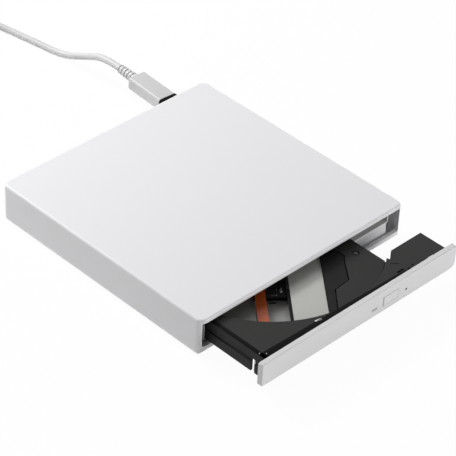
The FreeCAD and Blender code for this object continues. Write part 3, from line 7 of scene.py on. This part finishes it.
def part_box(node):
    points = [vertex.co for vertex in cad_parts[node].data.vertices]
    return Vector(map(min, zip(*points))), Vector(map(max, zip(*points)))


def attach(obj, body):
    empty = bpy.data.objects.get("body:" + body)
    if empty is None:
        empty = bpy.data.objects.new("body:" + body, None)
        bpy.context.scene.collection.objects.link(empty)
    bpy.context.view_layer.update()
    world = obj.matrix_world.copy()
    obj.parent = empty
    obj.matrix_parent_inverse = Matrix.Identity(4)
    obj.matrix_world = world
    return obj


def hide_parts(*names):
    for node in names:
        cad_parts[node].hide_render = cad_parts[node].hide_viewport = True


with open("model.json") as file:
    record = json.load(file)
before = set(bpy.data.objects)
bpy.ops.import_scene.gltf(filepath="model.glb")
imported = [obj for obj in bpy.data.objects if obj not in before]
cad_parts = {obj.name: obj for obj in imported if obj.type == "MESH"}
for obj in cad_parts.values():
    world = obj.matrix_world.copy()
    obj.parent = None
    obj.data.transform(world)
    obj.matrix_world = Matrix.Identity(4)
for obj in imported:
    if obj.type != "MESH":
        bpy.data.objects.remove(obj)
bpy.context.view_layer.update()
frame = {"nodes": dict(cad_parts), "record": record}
print("frame loaded:", len(frame["nodes"]), "nodes")

mm = 0.001


def corners(node):
    # a node's lowest and highest corner, in millimetres
    return [[v / mm for v in corner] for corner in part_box(node)]


hubLow, hubHigh = corners("turntable")

# places of the drive that several pieces use, in millimetres
drive = {
    "caseFront": -53.55, "caseLow": 0.8,
    "roof": corners("top_shell")[1][2] - 2.0,         # the underside of the top, which is 2 thick
    "bezelBack": corners("bezel")[1][1] - 1.2,        # the hooks reach 1.2 further
    "deckTop": corners("tray")[1][2],
    "sledTop": corners("pickup_sled")[1][2],
    "spindle": ((hubLow[0] + hubHigh[0]) / 2, (hubLow[1] + hubHigh[1]) / 2),
    "unitAngle": 230.0,                               # direction the laser travels in, from the spindle
}

# Materials; the moulded grain of the real parts is near 0.05 mm, and is drawn coarser here so that it shows

moulding = {"patch": 35.7, "smoother": 0.05, "rougher": 0.06, "relief": 0.6, "bend": 1.53}
rolling = {"streakLength": 83.3, "smoother": 0.08, "rougher": 0.1, "relief": 0.5}
polishing = {"mark": 0.2, "smoothest": 0.01, "roughest": 0.06, "clear": 0.9}


def linear(hexColour):
    # sRGB hex to the linear values that the nodes want
    out = []
    for k in (0, 2, 4):
        c = int(hexColour[k:k + 2], 16) / 255
        out.append(c / 12.92 if c <= 0.04045 else ((c + 0.055) / 1.055) ** 2.4)
    return (*out, 1.0)


def addNode(tree, kind, settings=None, links=None):
    # one node, its settings and what feeds it
    node = tree.nodes.new(kind)
    for key, value in (settings or {}).items():
        if hasattr(node, key) and key not in node.inputs:
            setattr(node, key, value)
        else:
            node.inputs[key].default_value = value
    for key, source in (links or {}).items():
        tree.links.new(source, node.inputs[key])
    return node


def newMaterial(name):
    mat = bpy.data.materials.new(name)
    mat.use_nodes = True
    tree = mat.node_tree
    return mat, tree, tree.nodes["Principled BSDF"]


def dressSurface(tree, shader, colour, spread, tone, detail, rough, relief, depth):
    # the tone pattern darkens the colour a little; the detail pattern makes the gloss uneven and gives the relief
    shade = addNode(tree, "ShaderNodeValToRGB", {}, {"Fac": tone})
    shade.color_ramp.elements[0].color = [c * (1 - spread) for c in linear(colour)[:3]] + [1.0]
    shade.color_ramp.elements[1].color = linear(colour)
    uneven = addNode(tree, "ShaderNodeMapRange", {"To Min": rough[0], "To Max": rough[1]}, {"Value": detail})
    bump = addNode(tree, "ShaderNodeBump", {"Strength": relief, "Distance": depth * mm}, {"Height": detail})
    tree.links.new(shade.outputs["Color"], shader.inputs["Base Color"])
    tree.links.new(uneven.outputs["Result"], shader.inputs["Roughness"])
    tree.links.new(bump.outputs["Normal"], shader.inputs["Normal"])


def mouldedPlastic(name, colour, rough, grain, depth, spread=0.03, gloss=0.5):
    # an even colour in broad patches, and a fine spark-eroded grain; grain and depth in millimetres
    mat, tree, shader = newMaterial(name)
    coord = addNode(tree, "ShaderNodeTexCoord").outputs["Object"]
    fine = addNode(tree, "ShaderNodeTexNoise", {"Scale": 1 / (grain * mm), "Detail": 3.0, "Roughness": 0.6},
                   {"Vector": coord}).outputs["Fac"]
    broad = addNode(tree, "ShaderNodeTexNoise", {"Scale": 1 / (moulding["patch"] * mm), "Detail": 2.0},
                    {"Vector": coord}).outputs["Fac"]
    dressSurface(tree, shader, colour, spread, broad, fine,
                 (rough - moulding["smoother"], rough + moulding["rougher"]), moulding["relief"], depth)
    shader.inputs["Specular IOR Level"].default_value = gloss
    shader.inputs["IOR"].default_value = moulding["bend"]
    return mat


def sheetMetal(name, colour, rough, streak, angle=0.0, depth=0.01, metal=1.0, spread=0.08):
    # long fine streaks one way, brighter and duller by turns; a streak's width and depth in millimetres
    mat, tree, shader = newMaterial(name)
    coord = addNode(tree, "ShaderNodeTexCoord").outputs["Object"]
    turned = addNode(tree, "ShaderNodeMapping", {}, {"Vector": coord})
    turned.inputs["Rotation"].default_value = (0, 0, -math.radians(angle))
    turned.inputs["Scale"].default_value = [1 / (v * mm) for v in (rolling["streakLength"], streak, streak)]
    lines = addNode(tree, "ShaderNodeTexNoise", {"Scale": 1.0, "Detail": 4.0},
                    {"Vector": turned.outputs["Vector"]}).outputs["Fac"]
    dressSurface(tree, shader, colour, spread, lines, lines,
                 (rough - rolling["smoother"], rough + rolling["rougher"]), rolling["relief"], depth)
    shader.inputs["Metallic"].default_value = metal
    return mat


def opticalGlass(name, colour, bend):
    # polished and coated: clear, with hardly any polishing marks
    mat, tree, shader = newMaterial(name)
    coord = addNode(tree, "ShaderNodeTexCoord").outputs["Object"]
    marks = addNode(tree, "ShaderNodeTexNoise", {"Scale": 1 / (polishing["mark"] * mm), "Detail": 2.0},
                    {"Vector": coord})
    uneven = addNode(tree, "ShaderNodeMapRange",
                     {"To Min": polishing["smoothest"], "To Max": polishing["roughest"]},
                     {"Value": marks.outputs["Fac"]})
    tree.links.new(uneven.outputs["Result"], shader.inputs["Roughness"])
    shader.inputs["Base Color"].default_value = linear(colour)
    shader.inputs["Transmission Weight"].default_value = polishing["clear"]
    shader.inputs["IOR"].default_value = bend
    return mat


unit = drive["unitAngle"]                             # the brushed lines run the way the laser travels
finishes = {
    # moulded with a fine grain, so the large top shows a soft sheen and no mirror image
    "caseWhite": mouldedPlastic("satin white ABS", "e9e9eb", 0.42, grain=0.35, depth=0.012, spread=0.01),
    # soft moulded PVC: a shade greyer than the case, and duller
    "plugWhite": mouldedPlastic("white PVC plug", "cacaca", 0.45, grain=0.3, depth=0.01, spread=0.01),
    # drawn through a die: smooth, with slow shallow waves along it
    "cableWhite": mouldedPlastic("white PVC jacket", "cdcdcd", 0.5, grain=1.2, depth=0.006, spread=0.02),
    # sprayed paint: smoother than the case, a silver that looks like pale grey
    "bezelSilver": mouldedPlastic("silver painted ABS", "dbdbdc", 0.38, grain=0.2, depth=0.008, spread=0.01),
    # glass fibres near the surface leave it dull and faintly cloudy
    "trayBlack": mouldedPlastic("black glass-filled polycarbonate", "252524", 0.55, grain=0.45, depth=0.03,
                                spread=0.2, gloss=0.17),
    # matt moulded, and darker than the tray, so it stands out from it; the same black also makes the guard strip
    # that paints the plate's shadow
    "hoodAndShadeBlack": mouldedPlastic("black polycarbonate hood and painted shade", "131313", 0.6, grain=0.4, depth=0.015,
                                spread=0.1, gloss=0.12),
    # soft and powdery: hardly any gloss, so it reads as a dark line; the same black also makes the pieces that paint
    # shade on the deck, in the base slot and at the plug
    "rubberAndShadeBlack": mouldedPlastic("black silicone rubber and painted shade", "141414", 0.85, grain=0.3, depth=0.02,
                                  spread=0.1, gloss=0.06),
    # open cells at their real size, which take all the gloss away; the same grey also makes the strip that paints
    # shade under the case's front edge
    "foamAndShadeGrey": mouldedPlastic("grey polyurethane foam and painted shade", "262626", 0.9, grain=0.6, depth=0.2, spread=0.2),
    # rolled and plated: the zinc turns pale and dull in the air, more grey-white than mirror
    "panSteel": sheetMetal("zinc-plated steel sheet", "e2e2e1", 0.4, streak=0.25, depth=0.008, metal=0.15),
    # brushed: lines that go from grey to nearly black with the light
    "baseSilver": sheetMetal("satin aluminium base", "7c7e7b", 0.45, streak=0.2, angle=unit, depth=0.008, metal=0.6),
    # brushed finer: a light grey band over the darker base
    "plateGrey": sheetMetal("brushed stainless plate", "b5b5b1", 0.42, streak=0.15, angle=unit, depth=0.006,
                            metal=0.35),
    # plated small parts: bright points
    "screwSteel": sheetMetal("nickel-plated screw", "a8a9aa", 0.3, streak=0.1),
    # oxide film on steel: a dark point that hardly shows in its counterbore
    "screwBlack": sheetMetal("blackened screw", "4a4a4a", 0.4, streak=0.1, metal=0.8),
    # polished, with a blue coating: a clear cool point in the black holder
    "lensGlass": opticalGlass("coated lens glass", "dfe8ff", bend=1.52),
    # ground round bars: the brightest metal on the part
    "rodSteel": sheetMetal("ground steel rod", "c6c7c9", 0.2, streak=0.08),
    # tin over rolled steel: a soft grey shine
    "plugSteel": sheetMetal("tinned steel plug shell", "9fa0a2", 0.3, streak=0.15),
    # lacquer over copper: green in lighter and darker patches
    "boardGreen": mouldedPlastic("green solder mask", "1f5a36", 0.35, grain=0.6, depth=0.01, spread=0.15),
    # cast resin: an even dark grey with a satin gloss
    "chipBlack": mouldedPlastic("black epoxy package", "1a1a1a", 0.5, grain=0.15, depth=0.01, spread=0.1),
    # thin film over copper: brown-orange and glossy
    "filmOrange": mouldedPlastic("orange polyimide film", "b04e1a", 0.32, grain=0.8, depth=0.01, spread=0.1),
    # stretched film: smooth and warm white; the same white also makes the pad that paints a highlight on the deck
    "filmAndHighlightWhite": mouldedPlastic("white polyester film and painted highlight", "dcdcd6", 0.4, grain=0.5, depth=0.01, spread=0.05),
    # tinted plastic over a dark hole: glossy, and greyer than the bezel round it
    "lampWindow": mouldedPlastic("smoked acrylic light window", "a9aba9", 0.15, grain=0.5, depth=0.002, spread=0.05),
    # turned on a lathe: yellow, with fine lines
    "nutBrass": sheetMetal("turned brass nut", "c09a55", 0.3, streak=0.1),
}

slotFinish = {
    "white_case": "caseWhite", "white_plug": "plugWhite", "white_cable": "cableWhite", "white_tie": "plugWhite",
    "bezel_silver": "bezelSilver", "button_silver": "bezelSilver", "tray_black": "trayBlack",
    "hood_black": "hoodAndShadeBlack", "sled_black": "hoodAndShadeBlack", "rail_black": "trayBlack", "rubber": "rubberAndShadeBlack",
    "foam": "foamAndShadeGrey", "steel_sheet": "panSteel", "silver_base": "baseSilver", "light_plate": "plateGrey",
    "screw_steel": "screwSteel", "rod_steel": "rodSteel", "plug_metal": "plugSteel", "circuit_green": "boardGreen",
    "chip_black": "chipBlack", "film_orange": "filmOrange", "film_white": "filmAndHighlightWhite",
    "light_window": "lampWindow", "nut_brass": "nutBrass", "lens_glass": "lensGlass",
}
nodeFinish = {"tray_screws": "screwBlack"}            # nodes that differ from the rest of their slot
for part in frame["record"]["subparts"]:
    name = nodeFinish.get(part["node"], slotFinish[part["material_slot"]])
    for slot in frame["nodes"][part["node"]].material_slots:
        slot.material = finishes[name]
print("finishes set")

# Camera, at the place that the photograph was taken from

camera = {"azimuth": -46.06, "elevation": 37.60, "roll": 2.92, "focalPx": 2246.88, "distance": 1103.72,
          "shiftRight": -37.30, "shiftUp": 33.67, "picturePx": 456.0, "sensorMm": 36.0, "near": 0.05, "far": 20}


def makeCamera():
    azimuth, elevation, roll = (math.radians(camera[k]) for k in ("azimuth", "elevation", "roll"))
    back = Vector((math.sin(azimuth) * math.cos(elevation), -math.cos(azimuth) * math.cos(elevation),
                   math.sin(elevation)))
    level = Vector((math.cos(azimuth), math.sin(azimuth), 0))
    upright = back.cross(level)
    right = level * math.cos(roll) + upright * math.sin(roll)
    up = upright * math.cos(roll) - level * math.sin(roll)
    place = back * camera["distance"] + right * camera["shiftRight"] + up * camera["shiftUp"]
    place += Vector((0, drive["caseFront"], drive["caseLow"]))
    data = bpy.data.cameras.new("camera")
    data.sensor_width = camera["sensorMm"]
    data.lens = camera["focalPx"] / camera["picturePx"] * camera["sensorMm"]
    data.clip_start, data.clip_end = camera["near"], camera["far"]
    thing = bpy.data.objects.new("camera", data)
    bpy.context.scene.collection.objects.link(thing)
    axes = Matrix((right, up, back)).transposed().to_4x4()
    thing.matrix_world = Matrix.Translation(place * mm) @ axes
    bpy.context.scene.camera = thing


makeCamera()
print("camera placed")

# Cable: out of the plug, down to the floor, and into a small tied coil behind the case

cable = {
    "diameter": 4.0, "length": 530.0,
    "plugX": 48.4, "plugZ": 16.2, "plugTurn": 4.0,
    "plugFace": 94.85, "reliefEnd": 42.5, "firstRun": 14.5,
    "route": [(52.3, 166.5, 9.6), (50.3, 183.5, 2.2), (47.5, 204.0, 2.0), (43.5, 225.0, 2.4)],
    "coilCentre": (5.0, 251.0), "coilRadius": 23.5, "coilPitch": 4.6, "coilTurns": 1.25, "coilTuck": 1.8,
    "coilStart": 30.0, "upper": 7.1, "lower": 2.6, "lead": 17.0, "tail": 20.0, "pointsPerTurn": 16,
    "dropTurns": 0.5,                                 # the part of a turn from the upper layer to the lower one
}


def behindPlug(distance):
    a = math.radians(cable["plugTurn"])
    return (cable["plugX"] + distance * math.sin(a), cable["plugFace"] + distance * math.cos(a), cable["plugZ"])


def coilPoint(turn):
    spiral, drop = cable["coilTurns"], cable["dropTurns"]
    if turn < spiral:
        r, z = cable["coilRadius"] - cable["coilPitch"] * turn, cable["upper"]
    elif turn < spiral + drop:
        share = (turn - spiral) / drop
        r = cable["coilRadius"] - cable["coilPitch"] * spiral - cable["coilTuck"] * math.sin(math.pi * share) ** 2
        z = cable["upper"] + (cable["lower"] - cable["upper"]) * share * share * (3 - 2 * share)
    else:
        r, z = cable["coilRadius"] - cable["coilPitch"] * (2 * spiral + drop - turn), cable["lower"]
    a = math.radians(cable["coilStart"]) + 2 * math.pi * turn
    x, y = cable["coilCentre"]
    return (x + r * math.cos(a), y + r * math.sin(a), z)


def coilAway(turn, distance):
    # a point beyond the coil's end, along its tangent
    a = math.radians(cable["coilStart"]) + 2 * math.pi * turn
    x, y, z = coilPoint(turn)
    return (x - distance * math.sin(a), y + distance * math.cos(a), z)


def makeCable():
    lastTurn = 2 * cable["coilTurns"] + cable["dropTurns"]
    points = [behindPlug(cable["reliefEnd"]), behindPlug(cable["reliefEnd"] + cable["firstRun"])]
    points += cable["route"]
    points.append(coilAway(0, -cable["lead"]))
    steps = int(lastTurn * cable["pointsPerTurn"])
    points += [coilPoint(k * lastTurn / steps) for k in range(steps + 1)]
    points.append(coilAway(lastTurn, cable["tail"]))
    curve = bpy.data.curves.new("usb_cord", "CURVE")
    curve.dimensions = "3D"
    spline = curve.splines.new("NURBS")
    spline.points.add(len(points) - 1)
    for point, place in zip(spline.points, points):
        point.co = (*(v * mm for v in place), 1)
    spline.order_u = 3
    spline.use_endpoint_u = True
    spline.resolution_u = 8
    curve.bevel_depth = cable["diameter"] / 2 * mm
    curve.bevel_resolution = 5
    curve.use_fill_caps = True
    cord = bpy.data.objects.new("usb_cord", curve)
    bpy.context.scene.collection.objects.link(cord)
    cord.data.materials.append(finishes["cableWhite"])
    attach(cord, "case")
    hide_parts("usb_cable", "cable_coil")


makeCable()
print("cable laid")

# What the small pieces are made with


def newBlock(name, centre, size, turn=0.0):
    # a cube at its size and place, with both in its mesh
    bpy.ops.object.select_all(action="DESELECT")
    bpy.ops.mesh.primitive_cube_add(size=1.0, location=[v * mm for v in centre])
    piece = bpy.context.object
    piece.name = name
    piece.data.name = name
    piece.scale = [v * mm for v in size]
    piece.rotation_euler = (0, 0, math.radians(turn))
    bpy.ops.object.transform_apply(location=True, rotation=True, scale=True)
    return piece


def unitBlock(name, along, across, z):
    # a block in the laser unit: its reach out from the spindle, to the side, and up
    a = math.radians(drive["unitAngle"])
    x, y = drive["spindle"]
    out, side = sum(along) / 2, sum(across) / 2
    centre = (x + out * math.cos(a) - side * math.sin(a), y + out * math.sin(a) + side * math.cos(a), sum(z) / 2)
    return newBlock(name, centre, (along[1] - along[0], across[1] - across[0], z[1] - z[0]), drive["unitAngle"])


def editSome(piece, kind, wanted):
    # edit mode on one piece, with only the wanted faces, edges or points selected
    if bpy.context.mode != "OBJECT":
        bpy.ops.object.mode_set(mode="OBJECT")
    bpy.ops.object.select_all(action="DESELECT")
    piece.select_set(True)
    bpy.context.view_layer.objects.active = piece
    bpy.ops.object.mode_set(mode="EDIT")
    bpy.ops.mesh.select_mode(type=kind)
    bpy.ops.mesh.select_all(action="DESELECT")
    bpy.ops.object.mode_set(mode="OBJECT")
    parts = {"FACE": piece.data.polygons, "EDGE": piece.data.edges, "VERT": piece.data.vertices}
    for thing in parts[kind]:
        thing.select = wanted(thing)
    bpy.ops.object.mode_set(mode="EDIT")


def panelTop(piece, rim, rise):
    # the top gets a rim, and the panel inside it is raised or sunk
    editSome(piece, "FACE", lambda face: face.normal.z > 0.9)
    bpy.ops.mesh.inset(thickness=rim * mm)
    bpy.ops.transform.translate(value=(0, 0, rise * mm))


def softenEdges(piece, width):
    # moulded and pressed parts have no sharp edge: a small round all over
    if bpy.context.mode != "OBJECT":
        bpy.ops.object.mode_set(mode="OBJECT")
    bpy.context.view_layer.objects.active = piece
    bevel = piece.modifiers.new("edges", "BEVEL")
    bevel.width = width * mm
    bevel.segments = 2
    bevel.limit_method = "ANGLE"
    bpy.ops.object.modifier_apply(modifier="edges")
    bpy.ops.object.select_all(action="DESELECT")
    piece.select_set(True)
    bpy.ops.object.shade_smooth_by_angle(angle=math.radians(40))


def joinPieces(name, pieces):
    bpy.ops.object.select_all(action="DESELECT")
    for piece in pieces:
        piece.select_set(True)
    bpy.context.view_layer.objects.active = pieces[0]
    bpy.ops.object.join()
    pieces[0].name = name
    pieces[0].data.name = name
    return pieces[0]


def addPiece(piece, finish, body):
    piece.data.materials.clear()
    piece.data.materials.append(finishes[finish])
    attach(piece, body)


# Laser unit: what lies open in the disc recess; along is the way out from the spindle, across is to its side

pickupCover = {"along": (33.9, 37.2), "across": (-7.4, 7.5), "z": (14.08, 14.64), "rim": 0.6, "sink": 0.12,
               "round": 0.06}


def makePickupCover():
    part = pickupCover
    cover = unitBlock("pickup_cover", part["along"], part["across"], part["z"])
    panelTop(cover, part["rim"], -part["sink"])
    softenEdges(cover, part["round"])
    addPiece(cover, "hoodAndShadeBlack", "sled")


pickupContacts = {"along": (35.05, 35.95), "across": (-1.6, -0.5, 0.6, 1.7, 2.8), "wide": 0.55, "z": (14.5, 14.72),
                  "round": 0.07}


def makePickupContacts():
    # a row of five pads, half sunk in the cover
    part, half, pads = pickupContacts, pickupContacts["wide"] / 2, []
    for across in part["across"]:
        pad = unitBlock("pad", part["along"], (across - half, across + half), part["z"])
        softenEdges(pad, part["round"])
        pads.append(pad)
    addPiece(joinPieces("pickup_contacts", pads), "plugSteel", "sled")


pickupSpring = {"along": (30.2, 33.6), "across": (4.75, 5.85), "aboveSled": (-0.02, 0.18), "rim": 0.25,
                "rise": 0.08, "round": 0.05}
sledClips = {"along": (30.1, 31.9), "across": (-1.7, 3.2), "wide": 0.5, "aboveSled": (-0.02, 0.2), "round": 0.05}


def makePickupSpring():
    # a leaf spring with a pressed rib, and the two clips beside it
    part = pickupSpring
    spring = unitBlock("pickup_spring", part["along"], part["across"],
                       [drive["sledTop"] + v for v in part["aboveSled"]])
    panelTop(spring, part["rim"], part["rise"])
    softenEdges(spring, part["round"])
    part, half, pieces = sledClips, sledClips["wide"] / 2, [spring]
    for across in part["across"]:
        clip = unitBlock("clip", part["along"], (across - half, across + half),
                         [drive["sledTop"] + v for v in part["aboveSled"]])
        softenEdges(clip, part["round"])
        pieces.append(clip)
    addPiece(joinPieces("pickup_spring", pieces), "screwSteel", "sled")


sledShadeGuard = {"along": (32.0, 58.0), "across": (7.8, 9.9), "z": (14.9, 15.4), "lipAcross": (7.8, 8.5),
             "lipZ": (15.3, 15.7), "round": 0.12}


def makeSledShadeGuard():
    # a black flat strip beside the light plate, with a lip along its inner edge: painted shadow of the plate on the
    # base
    part = sledShadeGuard
    strip = unitBlock("sled_shade_guard", part["along"], part["across"], part["z"])
    lip = unitBlock("lip", part["along"], part["lipAcross"], part["lipZ"])
    for piece in (strip, lip):
        softenEdges(piece, part["round"])
    addPiece(joinPieces("sled_shade_guard", [strip, lip]), "hoodAndShadeBlack", "tray")


# painted shade: a black liner in the slot of the base, for the shadow inside the hole
baseSlotShade = {"along": (40.15, 41.05), "across": (-1.6, 2.2), "z": (13.8, 14.08), "rim": 0.2, "sink": 0.04,
            "round": 0.02}


def makeBaseSlotShade():
    part = baseSlotShade
    slotShade = unitBlock("base_slot_shade", part["along"], part["across"], part["z"])
    panelTop(slotShade, part["rim"], -part["sink"])
    softenEdges(slotShade, part["round"])
    addPiece(slotShade, "rubberAndShadeBlack", "tray")


makePickupCover()
makePickupContacts()
makePickupSpring()
makeSledShadeGuard()
makeBaseSlotShade()
print("pickup made")

# Tray: black strips along two edges of the deck that paint the shade there, two small clips, and a white pad beside
# the recess that paints a highlight

deckTrim = {"high": 0.12, "sunk": 0.04}               # how far it stands up from the deck, and goes into it
deckShadeStrip = {"x": (-63.2, 34.6), "behindBezel": (0.4, 4.9), "taper": 2.8, "round": 0.05}


def deckBlock(name, centre, size, high, turn=0.0):
    # a block that lies on the deck
    sunk = deckTrim["sunk"]
    return newBlock(name, (*centre, drive["deckTop"] + (high - sunk) / 2), (*size, high + sunk), turn)


def makeDeckShadeStrip():
    # painted shade behind the bezel: a black strip that narrows towards the tray's right side
    part = deckShadeStrip
    left, right = part["x"]
    low, high = (drive["bezelBack"] + v for v in part["behindBezel"])
    middle = ((left + right) / 2, (low + high) / 2)
    strip = deckBlock("deck_shade_strip", middle, (right - left, high - low), deckTrim["high"])
    editSome(strip, "VERT", lambda point: point.co.x > middle[0] * mm and point.co.y > middle[1] * mm)
    bpy.ops.transform.translate(value=(0, -part["taper"] * mm, 0))
    softenEdges(strip, part["round"])
    addPiece(strip, "rubberAndShadeBlack", "tray")


# painted shade: a black strip along the deck's left edge
deckShadeEdge = {"x": (-63.6, -61.2), "y": (-88.6, -51.0), "round": 0.05}


def makeDeckShadeEdge():
    part = deckShadeEdge
    left, right = part["x"]
    low, high = part["y"]
    middle = ((left + right) / 2, (low + high) / 2)
    edge = deckBlock("deck_shade_edge", middle, (right - left, high - low), deckTrim["high"])
    softenEdges(edge, part["round"])
    addPiece(edge, "rubberAndShadeBlack", "tray")


deckClips = {"centres": ((-62.5, -84.0), (-60.1, -86.2)), "size": (0.9, 0.4), "high": 0.16, "turn": 32.0,
             "round": 0.1}


def makeDeckClips():
    part, clips = deckClips, []
    for centre in part["centres"]:
        clip = deckBlock("clip", centre, part["size"], part["high"], part["turn"])
        softenEdges(clip, part["round"])
        clips.append(clip)
    addPiece(joinPieces("deck_clips", clips), "screwSteel", "tray")


# painted highlight: a white pad on the deck where a bright glint shows
deckHighlightPad = {"centre": (-24.7, -85.35), "size": (3.6, 1.0), "high": 0.16, "turn": -14.0, "rim": 0.2, "sink": 0.05,
           "round": 0.06}


def makeDeckHighlightPad():
    part = deckHighlightPad
    pad = deckBlock("deck_highlight_pad", part["centre"], part["size"], part["high"], part["turn"])
    panelTop(pad, part["rim"], -part["sink"])
    softenEdges(pad, part["round"])
    addPiece(pad, "filmAndHighlightWhite", "tray")


makeDeckShadeStrip()
makeDeckShadeEdge()
makeDeckClips()
makeDeckHighlightPad()
print("tray trimmed")

# Case: a dark foam strip under its front edge, above the closed bezel: painted shade for the gap between the roof
# and the drive

roofShade = {"x": (-62.0, 58.5), "behindFront": 0.25, "deep": 1.5, "high": 0.5, "sunk": 0.06, "round": 0.12}


def makeRoofShade():
    part = roofShade
    left, right = part["x"]
    front = drive["caseFront"] + part["behindFront"]
    centre = ((left + right) / 2, front + part["deep"] / 2, drive["roof"] - (part["high"] - part["sunk"]) / 2)
    shadeBand = newBlock("roof_shade", centre, (right - left, part["deep"], part["high"] + part["sunk"]))
    softenEdges(shadeBand, part["round"])
    addPiece(shadeBand, "foamAndShadeGrey", "case")


makeRoofShade()
print("case sealed")

# Plug: a dark collar at the face that stands against the case: painted shade for the plug's white face in shadow
# there

plugShadeCollar = {"wide": 11.8, "high": 7.9, "long": 2.7, "ahead": 0.15, "corner": 1.6, "cornerSteps": 5, "step": 0.25,
              "round": 0.15}


def makePlugShadeCollar():
    part = plugShadeCollar
    a = math.radians(cable["plugTurn"])
    lengthways = Vector((math.sin(a), math.cos(a), 0))
    collar = newBlock("plug_shade_collar", behindPlug(part["long"] / 2 - part["ahead"]),
                      (part["wide"], part["long"], part["high"]), -cable["plugTurn"])

    def runsLengthways(edge):
        start, end = (collar.data.vertices[v].co for v in edge.vertices)
        return abs((end - start).normalized().dot(lengthways)) > 0.99

    editSome(collar, "EDGE", runsLengthways)
    bpy.ops.mesh.bevel(offset=part["corner"] * mm, segments=part["cornerSteps"])
    editSome(collar, "FACE", lambda face: abs(face.normal.dot(lengthways)) > 0.9)
    bpy.ops.mesh.inset(thickness=part["step"] * mm)
    softenEdges(collar, part["round"])
    addPiece(collar, "rubberAndShadeBlack", "case")


makePlugShadeCollar()
print("plug collar made")

# Studio: a white floor that stays white behind the drive, and soft lamps

studio = {"floorSize": 6.0, "floor": "f4f4f4", "floorRough": 0.9, "floorGloss": 0.2, "floorGlow": 0.96, "sky": 0.14}


def seenDirectly(tree):
    # 1 for rays from the camera and for those that a gloss or glass sends on
    path = addNode(tree, "ShaderNodeLightPath")
    seen = path.outputs["Is Camera Ray"]
    for name in ("Is Glossy Ray", "Is Transmission Ray"):
        step = addNode(tree, "ShaderNodeMath", {"operation": "MAXIMUM"})
        tree.links.new(seen, step.inputs[0])
        tree.links.new(path.outputs[name], step.inputs[1])
        seen = step.outputs[0]
    return seen


def makeFloor():
    # paper: dull and even, and it keeps a soft shadow
    bpy.ops.object.select_all(action="DESELECT")
    bpy.ops.mesh.primitive_plane_add(size=studio["floorSize"], location=(0, 0, 0))
    floor = bpy.context.object
    floor.name = "floor"
    mat, tree, shader = newMaterial("white paper floor")
    shader.inputs["Base Color"].default_value = linear(studio["floor"])
    shader.inputs["Roughness"].default_value = studio["floorRough"]
    shader.inputs["Specular IOR Level"].default_value = studio["floorGloss"]
    glow = addNode(tree, "ShaderNodeEmission", {"Strength": 1.0})
    share = addNode(tree, "ShaderNodeMath", {"operation": "MULTIPLY"})
    tree.links.new(seenDirectly(tree), share.inputs[0])
    share.inputs[1].default_value = studio["floorGlow"]
    mix = addNode(tree, "ShaderNodeMixShader", {}, {"Fac": share.outputs[0]})
    tree.links.new(shader.outputs[0], mix.inputs[1])
    tree.links.new(glow.outputs[0], mix.inputs[2])
    tree.links.new(mix.outputs[0], tree.nodes["Material Output"].inputs["Surface"])
    floor.data.materials.append(mat)


def makeWorld():
    # white where it is seen, and a low even light on the part
    world = bpy.data.worlds.new("studio")
    bpy.context.scene.world = world
    world.use_nodes = True
    tree = world.node_tree
    tree.nodes.clear()
    seen = addNode(tree, "ShaderNodeBackground", {"Strength": 1.0, "Color": (1, 1, 1, 1)})
    lit = addNode(tree, "ShaderNodeBackground", {"Strength": studio["sky"], "Color": (1, 1, 1, 1)})
    mix = addNode(tree, "ShaderNodeMixShader", {}, {"Fac": seenDirectly(tree)})
    tree.links.new(lit.outputs[0], mix.inputs[1])
    tree.links.new(seen.outputs[0], mix.inputs[2])
    addNode(tree, "ShaderNodeOutputWorld", {}, {"Surface": mix.outputs[0]})


# place and aim in metres, size in metres, and watts of each lamp
lamps = {
    "lamp behind": {"place": (-0.12, 1.05, 0.84), "aim": (0, 0, 0.02), "size": (0.22, 0.22), "watts": 13.0},
    "lamp overhead": {"place": (-0.25, 0.32, 0.52), "aim": (0, 0, 0.02), "size": (0.3, 0.3), "watts": 1.15},
    "lamp in front": {"place": (0.5, -1.3, 0.34), "aim": (0, 0, 0), "size": (1.0, 0.4), "watts": 10.6},
    "lamp behind right": {"place": (1.3, 1.0, 0.5), "aim": (0, 0, 0), "size": (1.0, 0.8), "watts": 1.5},
}


def addLamps():
    for name, lamp in lamps.items():
        data = bpy.data.lights.new(name, "AREA")
        data.shape = "RECTANGLE"
        data.size, data.size_y = lamp["size"]
        data.energy = lamp["watts"]
        thing = bpy.data.objects.new(name, data)
        bpy.context.scene.collection.objects.link(thing)
        thing.location = lamp["place"]
        thing.visible_camera = False
        thing.rotation_euler = (Vector(lamp["aim"]) - thing.location).to_track_quat("-Z", "Y").to_euler()


makeFloor()
makeWorld()
addLamps()
bpy.context.scene.view_settings.view_transform = "Standard"
print("studio ready")
